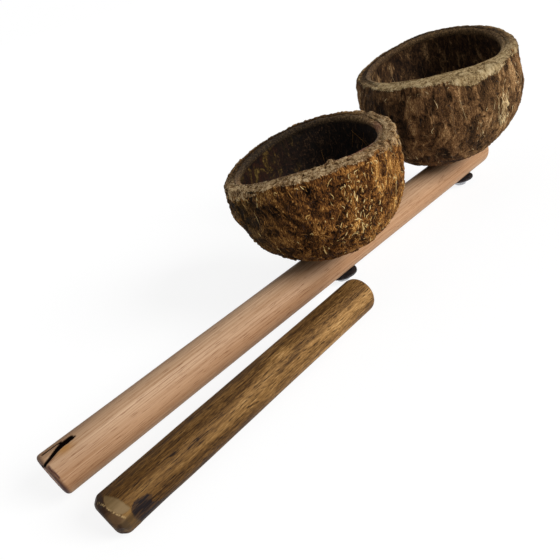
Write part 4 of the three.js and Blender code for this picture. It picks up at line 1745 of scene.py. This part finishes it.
@dataclass
class Beater:
    """The loose beater, with a slanted whittled end and a rounded one.

    Outlines of marks are places along the beater from its end in mm, each with a bearing in degrees. hewn
    holds the heights in mm of its broad and fine unevenness. The wood is darkened over a share of the length.
    """

    radius: float = 12.8
    length: float = 224.5
    near_along: float = -253.5
    near_across: float = -49.4
    yaw_deg: float = 1.5
    far_round: float = 5.0
    near_round: float = 6.2
    slant_across: float = 0.11
    slant_up: float = -0.17
    knife_depth: float = 3.8
    knife_length: float = 4.8
    knife_cuts: int = 9
    whittled_length: float = 6.5
    detailed_length: float = 40.0
    floor_gap: float = 0.02
    hewn: Pair = (0.12, 0.05)
    fresh_depth: float = 0.3
    burnt_depth: float = 0.15
    lip_height: float = 0.15
    lip_reach: Pair = (0.6, 0.15)
    ragged: float = 0.8
    facet_edge: float = 0.35
    grey_edge: float = 1.0
    burnt_edge: float = 1.4
    grey_fresh: float = 0.35
    grey_lip: float = 0.4
    arc_start_deg: float = 100.0
    # Painted shade on the side turned from the light
    dim: Lobe = Lobe(60.0, 36.0, 1.0)
    darkened_share: float = 0.7
    darkened: float = 1.15
    steps: int = 224
    facet: Marks = (
        (5.0, 1.0), (6.6, -16.0), (8.3, -31.0), (9.1, -48.0), (10.0, -66.0), (8.3, -67.0), (5.2, -64.0),
        (3.4, -56.0), (2.1, -41.0), (1.6, -26.0), (2.8, -12.0),
    )
    lip: Marks = (
        (0.8, 3.0), (1.4, -20.0), (1.7, -37.0), (2.7, -53.0), (4.4, -67.0), (5.5, -75.0),
    )
    grey: Marks = (
        (5.8, -70.0), (9.0, -76.0), (9.5, -92.0), (11.5, -115.0), (2.7, -118.0), (1.8, -78.0),
    )
    burnt: Marks = (
        (10.9, -65.0), (13.4, -60.0), (18.4, -65.0), (20.7, -66.0), (21.9, -75.0), (20.8, -91.0),
        (24.7, -108.0), (31.0, -119.0), (44.0, -131.0), (30.0, -150.0), (14.0, -150.0), (11.6, -121.0),
        (9.0, -92.0), (9.4, -75.0),
    )

    def slant(self, across: Array | float, up: Array | float) -> Array | float:
        """How far along the slanted end lies."""
        return self.slant_across * across + self.slant_up * up

    def whittled(self, along: Array, bearing: Array, reach: Array) -> Array:
        """Keeps radii inside the knife cuts round the end."""
        for cut in range(self.knife_cuts):
            turn = -cut * FULL_TURN / self.knife_cuts
            lead = self.slant(self.radius * math.sin(turn), self.radius * math.cos(turn))
            limit = self.radius - self.knife_depth + (along - lead) * self.knife_depth / self.knife_length
            facing = np.cos(bearing - turn)
            reach = np.where(facing > 0.3, np.minimum(reach, limit / np.maximum(facing, 0.3)), reach)
        return reach

    def placed(self, along: Array, across: Array, up: Array) -> Array:
        """Moves places on the beater to the object's frame."""
        turn = math.radians(self.yaw_deg)
        x = self.near_along + along * math.cos(turn) - across * math.sin(turn)
        y = self.near_across + along * math.sin(turn) + across * math.cos(turn)
        return np.stack((x, y, np.maximum(self.radius + up, self.floor_gap)), axis=-1)

    def outlined(self, along: Array, arc: Array, marks: Sequence[Sequence[float]], softness: float) -> Array:
        """Tells how far places on the surface lie inside an outline of marks."""
        corners = [(place, math.radians(turn) * self.radius) for place, turn in marks]
        return inside(along, arc, corners, softness)

    def masks(self, along: Array, bearing: Array, end: float) -> dict[str, Array]:
        """Works out the marks.

        Args:
            along: places along the beater.
            bearing: bearings about it.
            end: 1 on the flat middle of the end, 0 elsewhere.

        Returns:
            The named marks.
        """
        away = away_from(bearing, 0.0)
        arc = np.where(away > math.radians(self.arc_start_deg), away - FULL_TURN, away) * self.radius
        side = 1.0 - end
        fresh = self.outlined(along, arc, self.facet, self.facet_edge) * side
        grey = self.outlined(along, arc, self.grey, self.grey_edge) * side
        lip_line = [(place, math.radians(turn) * self.radius) for place, turn in self.lip]
        lip = smooth_step(*self.lip_reach, distance_to_line(along, arc, lip_line)[0]) * side
        lead = self.slant(self.radius * np.sin(bearing), self.radius * np.cos(bearing))
        ragged = self.ragged * Grain(23, 3, 503).at(bearing, np.full_like(bearing, 0.3))
        cut_back = smooth_step(self.ragged, -self.ragged, along - lead - self.whittled_length - ragged)
        darkened = self.darkened - along / (self.darkened_share * self.length)
        return {
            "burnt": self.outlined(along, arc, self.burnt, self.burnt_edge) * side,
            "dim": lobes_at(bearing, (self.dim,)),
            "near": np.clip(darkened, 0.0, 1.0),
            "whittled": np.clip(np.maximum(end, cut_back) - fresh, 0.0, 1.0),
            "fresh": np.maximum(fresh, self.grey_fresh * grey),
            "lip": lip * (1.0 - self.grey_lip * grey),
        }

    def row(self, square: float, radius: float) -> Row:
        """A row at a distance from the slanted end."""

        def row(bearing: Array) -> Spots:
            """Places the row's points."""
            fade = smooth_step(self.detailed_length, self.near_round, np.array(square))
            along = square + self.slant(radius * np.sin(bearing), radius * np.cos(bearing)) * fade
            broad, fine = self.hewn
            hewn = broad * Grain(11, 7, 501).at(bearing, along / self.length)
            hewn += fine * Grain(60, 9, 502).at(bearing, along / self.length)
            reach = radius + hewn * smooth_step(0.0, self.radius, np.array(radius))
            reach = self.whittled(along, bearing, reach)
            masks = self.masks(along, bearing, 1.0 if square == 0.0 else 0.0)
            reach = reach - self.fresh_depth * masks["fresh"] - self.burnt_depth * masks["burnt"]
            reach = reach + self.lip_height * masks["lip"]
            across = reach * np.sin(bearing)
            up = reach * np.cos(bearing)
            return Spots(self.placed(along, across, up), np.stack((along, across, up), axis=-1), masks)

        return row

    def build(self) -> None:
        """Builds and dresses the beater."""
        face = self.radius - self.near_round
        rows = [self.row(0.0, float(radius)) for radius in np.linspace(0.0, face, 9)]
        for turn in np.linspace(0.0, math.pi / 2, 26)[1:-1]:
            square = self.near_round * (1.0 - math.cos(turn))
            rows.append(self.row(square, face + self.near_round * math.sin(turn)))
        plain_end = self.length - self.far_round
        near = np.linspace(self.near_round, self.detailed_length, 62)
        far = np.linspace(self.detailed_length, plain_end, 36)[1:]
        rows += [self.row(float(square), self.radius) for square in (*near, *far)]
        for turn in np.linspace(0.0, math.pi / 2, 9)[1:]:
            square = plain_end + self.far_round * math.sin(turn)
            rows.append(self.row(square, self.radius - self.far_round * (1.0 - math.cos(turn))))
        rows += [self.row(self.length, radius) for radius in (5.0, 2.5, 0.0)]
        piece = turned_skin("beater_hewn", rows, self.steps, closed=False)
        fit(piece, Body.BEATER, Slot.BEATER, BeaterFinish().material(), "beater")


# Stage


@dataclass
class Studio:
    """The camera, the lights and the floor. The camera's place is in mm."""

    place: Triple = (-313.07, -316.73, 235.14)
    heading_deg: float = 51.558
    pitch_deg: float = -26.407
    roll_deg: float = -17.31
    focal_pixels: float = 634.956
    image_pixels: float = 560.0
    sensor: float = 36.0
    light_from: Triple = (0.35, -1.0, 0.62)
    light_spread_deg: float = 28.0
    key: float = 0.9
    sky: float = 0.37
    floor_size: float = 40.0
    floor_tone: float = 0.94
    floor_glow: float = 1.068
    floor_glow_share: float = 0.8

    def camera(self) -> None:
        """Sets the camera at the photograph's view."""
        heading, pitch = math.radians(self.heading_deg), math.radians(self.pitch_deg)
        flat = math.cos(pitch)
        ahead = Vector((flat * math.cos(heading), flat * math.sin(heading), math.sin(pitch)))
        roll = Matrix.Rotation(math.radians(self.roll_deg), 3, "Z").to_quaternion()
        turn = ahead.to_track_quat("-Z", "Y") @ roll
        lens = bpy.data.cameras.new("view")
        lens.sensor_width = self.sensor
        lens.lens = self.focal_pixels / self.image_pixels * self.sensor
        lens.clip_start = 0.01
        camera = bpy.data.objects.new("view", lens)
        camera.matrix_world = Matrix.Translation(Vector(self.place) * MM) @ turn.to_matrix().to_4x4()
        bpy.context.scene.collection.objects.link(camera)
        bpy.context.scene.camera = camera

    def lights(self) -> None:
        """Sets one broad key light and an even sky that looks white to the camera."""
        sun = bpy.data.lights.new("key", "SUN")
        sun.energy = self.key * math.pi
        sun.angle = math.radians(self.light_spread_deg)
        lamp = bpy.data.objects.new("key", sun)
        lamp.rotation_euler = Vector(self.light_from).to_track_quat("Z", "Y").to_euler()
        bpy.context.scene.collection.objects.link(lamp)
        world = bpy.data.worlds.new("sky")
        bpy.context.scene.world = world
        mix = Recipe(world)
        even = mix.glow("ShaderNodeBackground", self.sky)
        white = mix.glow("ShaderNodeBackground", 1.0)
        mix.choose(mix.seen(), even, white, "ShaderNodeOutputWorld")

    def floor(self) -> None:
        """Lays a plain pale floor that keeps a light shadow."""
        form = bmesh.new()
        bmesh.ops.create_grid(form, x_segments=8, y_segments=8, size=self.floor_size / 2)
        mesh = bpy.data.meshes.new("floor")
        form.to_mesh(mesh)
        form.free()
        floor = bpy.data.objects.new("floor", mesh)
        bpy.context.scene.collection.objects.link(floor)
        mix = Recipe(bpy.data.materials.new("floor_paper"))
        matt = mix.add("ShaderNodeBsdfDiffuse")
        matt.inputs["Color"].default_value = (self.floor_tone, self.floor_tone, self.floor_tone, 1.0)
        glow = mix.glow("ShaderNodeEmission", self.floor_glow)
        share = mix.sum("MULTIPLY", mix.seen(), self.floor_glow_share)
        mix.choose(share, matt, glow, "ShaderNodeOutputMaterial")
        mesh.materials.append(mix.holder)

    def build(self) -> None:
        """Sets the whole stage."""
        self.camera()
        self.lights()
        self.floor()
        bpy.context.scene.view_settings.view_transform = "Standard"


NEAR_SHAPE = CupShape(
    radius=66.8,
    height=75.0,
    widest_height=57.6,
    closing_height=74.7,
    fullness=2.4,
    pole_wall=9.0,
    rim_wall=13.2,
    rim_bevel=2.5,
    rim_tilt=2.1,
    rim_tilt_deg=-68.0,
    rim_wave=3.6,
    rim_wave_deg=40.0,
    oval_share=0.033,
    oval_deg=34.0,
    three_sided_share=0.028,
    three_sided_deg=-5.0,
    pole_along=-0.3,
    pole_across=-0.6,
    bore_along=0.6,
    bore_across=1.4,
    lean_across_deg=0.1,
    lean_to_handle_deg=2.4,
    saddle_depth=1.2,
    lumps=(Lump(0.8, 4, 2, -60.0, 0.62), Lump(0.6, 7, 3, -105.0, 0.8), Lump(0.4, 10, 5, -38.0, 0.7)),
)
FAR_SHAPE = CupShape(
    radius=70.6,
    height=89.4,
    widest_height=60.0,
    closing_height=75.5,
    fullness=2.2,
    pole_wall=10.0,
    rim_wall=12.5,
    rim_bevel=3.0,
    rim_tilt=4.5,
    rim_tilt_deg=113.0,
    rim_wave=3.1,
    rim_wave_deg=22.0,
    oval_share=0.037,
    oval_deg=1.0,
    three_sided_share=0.016,
    three_sided_deg=-24.0,
    pole_along=-2.0,
    pole_across=1.9,
    bore_along=2.0,
    bore_across=1.5,
    lean_across_deg=1.0,
    lean_to_handle_deg=7.4,
    saddle_depth=2.5,
    lumps=(Lump(0.6, 5, 2, -70.0, 0.5), Lump(0.5, 8, 4, -30.0, 0.75), Lump(0.35, 11, 5, -120.0, 0.6)),
)
NEAR_TEXTURE = HuskTexture(
    lump=0.4,
    ridge=0.4,
    plate=0.8,
    pit=0.9,
    rim_roughness=0.55,
    sway=0.2,
    seed=11,
    worn_depth=(Lobe(-50.0, 32.0, 11.0), Lobe(168.0, 20.0, 5.5)),
    worn_base=-1.5,
    pale=(Lobe(-130.0, 52.0, 0.9), Lobe(160.0, 30.0, 0.85), Lobe(-38.0, 40.0, 0.85)),
    pale_base=0.05,
    gold=(Lobe(-84.0, 34.0, 0.5),),
    shaded=(Lobe(162.0, 45.0, 1.0), Lobe(60.0, 60.0, 0.8)),
    scars=(
        Scar(-140.0, 0.959, 2.4, 2.6, 2.6),
        Scar(-190.0, 0.969, 0.9, 2.6, 1.6),
        Scar(-188.8, 0.943, 0.8, 2.6, 1.8),
        Scar(-187.2, 0.915, 0.8, 2.6, 1.8),
        Scar(-186.0, 0.889, 0.7, 2.4, 1.4),
    ),
    rim_marks=(
        RimMark(-122.0, 0.84, 3.2, 2.6),
        RimMark(-21.0, 0.73, 2.4, -1.6),
        RimMark(-140.0, 0.1, 3.0, -0.9),
    ),
    rim_rise=(Lobe(-130.0, 50.0, 1.7),),
)
FAR_TEXTURE = HuskTexture(
    lump=0.3,
    ridge=0.34,
    plate=0.5,
    pit=0.6,
    rim_roughness=0.22,
    sway=0.13,
    seed=61,
    worn_depth=(Lobe(-124.0, 13.0, 5.5), Lobe(-104.0, 12.0, 3.0), Lobe(-60.0, 14.0, 4.0)),
    worn_base=-0.8,
    pale=(Lobe(-150.0, 50.0, 0.95), Lobe(-92.0, 45.0, 0.95), Lobe(168.0, 18.0, 0.5)),
    pale_base=0.05,
    gold=(Lobe(-102.0, 28.0, 0.45),),
    shaded=(Lobe(162.0, 40.0, 0.8), Lobe(40.0, 60.0, 0.5)),
    rim_marks=(RimMark(-112.0, 0.3, 3.0, -0.5),),
    rim_rise=(Lobe(-120.0, 52.0, 2.6),),
)
NEAR_HUSK = HuskFinish(
    name="near_cup_husk",
    body=Ramp(
        ((0.0, 22, 11, 5), (0.3, 67, 39, 17), (0.55, 115, 71, 33), (0.8, 168, 112, 54), (1.0, 230, 177, 100))
    ),
    shaded=Ramp(
        ((0.0, 15, 10, 5), (0.3, 46, 32, 16), (0.55, 78, 56, 29), (0.8, 120, 89, 48), (1.0, 178, 144, 90))
    ),
    gold=Ramp(
        (
            (0.0, 37, 20, 8), (0.3, 100, 59, 24), (0.55, 152, 100, 47), (0.8, 202, 146, 75),
            (1.0, 250, 207, 126),
        )
    ),
    worn=Ramp(((0.0, 46, 30, 16), (0.3, 110, 82, 52), (0.6, 168, 138, 98), (1.0, 218, 192, 150))),
    curl_size=1.5,
    contrast=1.0,
)
FAR_HUSK = HuskFinish(
    name="far_cup_husk",
    body=Ramp(
        ((0.0, 28, 18, 9), (0.3, 77, 52, 31), (0.55, 119, 84, 53), (0.8, 168, 124, 80), (1.0, 232, 190, 132))
    ),
    shaded=Ramp(
        ((0.0, 20, 13, 8), (0.3, 54, 37, 22), (0.55, 84, 60, 37), (0.8, 122, 92, 60), (1.0, 180, 148, 102))
    ),
    gold=Ramp(
        (
            (0.0, 40, 27, 14), (0.3, 106, 76, 46), (0.55, 152, 116, 74), (0.8, 202, 162, 108),
            (1.0, 250, 224, 176),
        )
    ),
    worn=Ramp(((0.0, 84, 66, 42), (0.3, 140, 115, 78), (0.6, 182, 156, 112), (1.0, 212, 190, 148))),
    curl_size=1.2,
    contrast=0.8,
)
NEAR_SHELL = ShellFinish(
    name="near_cup_hard_shell",
    body=Ramp(((0.0, 6, 5, 4), (0.4, 17, 12, 9), (0.7, 38, 26, 18), (1.0, 84, 64, 46))),
    patched=Ramp(
        ((0.0, 14, 8, 5), (0.35, 52, 25, 13), (0.6, 42, 27, 12), (0.8, 82, 60, 22), (1.0, 120, 96, 47))
    ),
    edge=Ramp(((0.0, 10, 7, 4), (0.5, 27, 19, 11), (1.0, 72, 56, 35))),
    pale_edge=Ramp(((0.0, 34, 20, 11), (0.5, 104, 76, 46), (1.0, 190, 160, 116))),
    red_edge=Ramp(((0.0, 44, 22, 14), (0.5, 104, 64, 44), (1.0, 176, 132, 100))),
)
FAR_SHELL = ShellFinish(
    name="far_cup_hard_shell",
    body=Ramp(((0.0, 9, 6, 4), (0.4, 25, 16, 10), (0.7, 52, 34, 22), (1.0, 98, 72, 50))),
    patched=Ramp(((0.0, 24, 15, 9), (0.4, 68, 46, 28), (0.7, 100, 72, 45), (1.0, 156, 121, 82))),
    edge=Ramp(((0.0, 22, 14, 8), (0.5, 58, 38, 22), (1.0, 116, 86, 54))),
    pale_edge=Ramp(((0.0, 76, 58, 36), (0.5, 140, 114, 76), (1.0, 200, 174, 128))),
    red_edge=Ramp(((0.0, 30, 22, 12), (0.5, 68, 50, 30), (1.0, 130, 103, 68))),
)
# Where painted light falls on each hard shell's inside
NEAR_LIT = (Lobe(100.0, 38.0, 1.0),)
NEAR_RED = (Lobe(-100.0, 16.0, 1.0), Lobe(-36.0, 10.0, 0.8))
FAR_LIT = (Lobe(70.0, 110.0, 1.0),)
FAR_RED = (Lobe(30.0, 60.0, 1.0),)
NEAR_FIBRES = (
    FibreFinish("near_fibre_pale", Ramp(((0.3, 190, 150, 84), (0.7, 246, 218, 152)))),
    FibreFinish("near_fibre_tan", Ramp(((0.3, 112, 72, 30), (0.7, 172, 122, 58)))),
    FibreFinish("near_fibre_dark", Ramp(((0.3, 30, 16, 8), (0.7, 66, 38, 18)))),
)
FAR_FIBRES = (
    FibreFinish("far_fibre_pale", Ramp(((0.3, 170, 138, 92), (0.7, 232, 206, 156)))),
    FibreFinish("far_fibre_tan", Ramp(((0.3, 102, 76, 46), (0.7, 150, 116, 76)))),
    FibreFinish("far_fibre_dark", Ramp(((0.3, 32, 21, 13), (0.7, 66, 46, 30)))),
)
NEAR_STRANDS = (
    Strand(
        "flecks", 620, lengths=(2.0, 5.0), radii=(0.14, 0.36), climbs=(0.3, 0.98), slant_deg=22.0,
        curl=1.0, lift=0.3, tones=(0.03, 0.5), seed=71,
    ),
    Strand(
        "gold_flecks", 420, lengths=(1.5, 5.0), radii=(0.16, 0.4), climbs=(0.5, 0.99),
        middle_deg=-104.0, spread_deg=20.0, slant_deg=18.0, curl=1.0, lift=0.4, tones=(0.1, 0.7), seed=75,
    ),
    Strand(
        "cream_flecks", 60, lengths=(1.5, 4.5), radii=(0.2, 0.4), climbs=(0.62, 0.97),
        middle_deg=-117.0, spread_deg=5.0, slant_deg=14.0, curl=0.9, lift=0.5, tones=(0.9, 0.1), seed=76,
    ),
    Strand(
        "threads", 70, lengths=(8.0, 20.0), radii=(0.12, 0.24), climbs=(0.4, 1.0), slant_deg=10.0,
        curl=0.5, lift=0.5, tones=(0.2, 0.5), seed=72,
    ),
    Strand(
        "long_curl", 1, lengths=(14.0, 14.0), radii=(0.45, 0.45), climbs=(0.645, 0.646),
        middle_deg=-141.0, spread_deg=0.1, slant_deg=4.0, curl=0.6, lift=0.5, tones=(1.0, 0.0), seed=77,
    ),
    Strand(
        "edge_tufts", 260, lengths=(1.5, 5.0), radii=(0.14, 0.34), climbs=(0.985, 1.0),
        slant_deg=30.0, curl=0.9, lift=0.5, tones=(0.2, 0.5), seed=73,
    ),
    Strand(
        "inner_hairs", 26, lengths=(18.0, 46.0), radii=(0.08, 0.14), climbs=(0.75, 0.99),
        slant_deg=20.0, curl=0.5, lift=0.2, tones=(0.1, 0.5), seed=74, face=Wall.INNER, points=12,
    ),
)
FAR_STRANDS = (
    Strand(
        "flecks", 620, lengths=(2.0, 7.0), radii=(0.13, 0.34), climbs=(0.3, 0.98), slant_deg=14.0,
        curl=0.9, lift=0.3, tones=(0.08, 0.5), seed=81,
    ),
    Strand(
        "cream_streaks", 95, lengths=(3.0, 8.0), radii=(0.24, 0.42), climbs=(0.68, 0.88),
        middle_deg=-103.0, spread_deg=3.6, slant_deg=6.0, curl=0.5, lift=0.4, tones=(0.9, 0.1), seed=85,
    ),
    Strand(
        "low_streaks", 16, lengths=(2.0, 6.0), radii=(0.14, 0.28), climbs=(0.62, 0.78),
        middle_deg=-124.5, spread_deg=1.6, slant_deg=6.0, curl=0.5, lift=0.3, tones=(0.8, 0.2), seed=86,
    ),
    Strand(
        "threads", 90, lengths=(8.0, 24.0), radii=(0.1, 0.2), climbs=(0.4, 1.0), slant_deg=7.0,
        curl=0.4, lift=0.4, tones=(0.2, 0.5), seed=82,
    ),
    Strand(
        "edge_tufts", 160, lengths=(1.5, 4.5), radii=(0.12, 0.26), climbs=(0.985, 1.0),
        slant_deg=25.0, curl=0.8, lift=0.4, tones=(0.2, 0.5), seed=83,
    ),
    Strand(
        "inner_hairs", 30, lengths=(18.0, 46.0), radii=(0.08, 0.14), climbs=(0.75, 0.99),
        slant_deg=14.0, curl=0.4, lift=0.2, tones=(0.3, 0.5), seed=84, face=Wall.INNER, points=12,
    ),
)
ZINC = SteelFinish(
    name="zinc_plate",
    clean=Ramp(((0.2, 150, 152, 156), (0.8, 214, 216, 220))),
    metallic=1.0,
    roughness=0.36,
)
# Dark steel that stands in for the stick's shadow on the outer washer and the stick's dark reflection in it
SHADED_STEEL = SteelFinish(
    name="black_oxide",
    clean=Ramp(((0.2, 24, 22, 24), (0.8, 62, 56, 58))),
    metallic=0.6,
    roughness=0.5,
)


def main() -> None:
    """Builds the stage and every piece, and reports each."""
    logging.basicConfig(level=logging.INFO, format="%(name)s: %(message)s")
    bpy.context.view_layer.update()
    Studio().build()
    near = CocoCup(
        prefix="near",
        bolt_along=0.0,
        shape=NEAR_SHAPE,
        texture=NEAR_TEXTURE,
        husk_slot=Slot.NEAR_HUSK,
        husk_finish=NEAR_HUSK,
        shell_finish=NEAR_SHELL,
        lit_lobes=NEAR_LIT,
        red_lobes=NEAR_RED,
    )
    far = CocoCup(
        prefix="far",
        bolt_along=FAR_BOLT,
        shape=FAR_SHAPE,
        texture=FAR_TEXTURE,
        husk_slot=Slot.FAR_HUSK,
        husk_finish=FAR_HUSK,
        shell_finish=FAR_SHELL,
        lit_lobes=FAR_LIT,
        red_lobes=FAR_RED,
    )
    zinc = ZINC.material()
    shaded_steel = SHADED_STEEL.material()
    for cup in (near, far):
        cup.build()
        Fastening(cup.prefix, cup.bolt_along, zinc, shaded_steel).build()
    Coir(near, NEAR_STRANDS, NEAR_FIBRES).build()
    Coir(far, FAR_STRANDS, FAR_FIBRES).build()
    HandleStick().build()
    Beater().build()


if __name__ == "__main__":
    main()
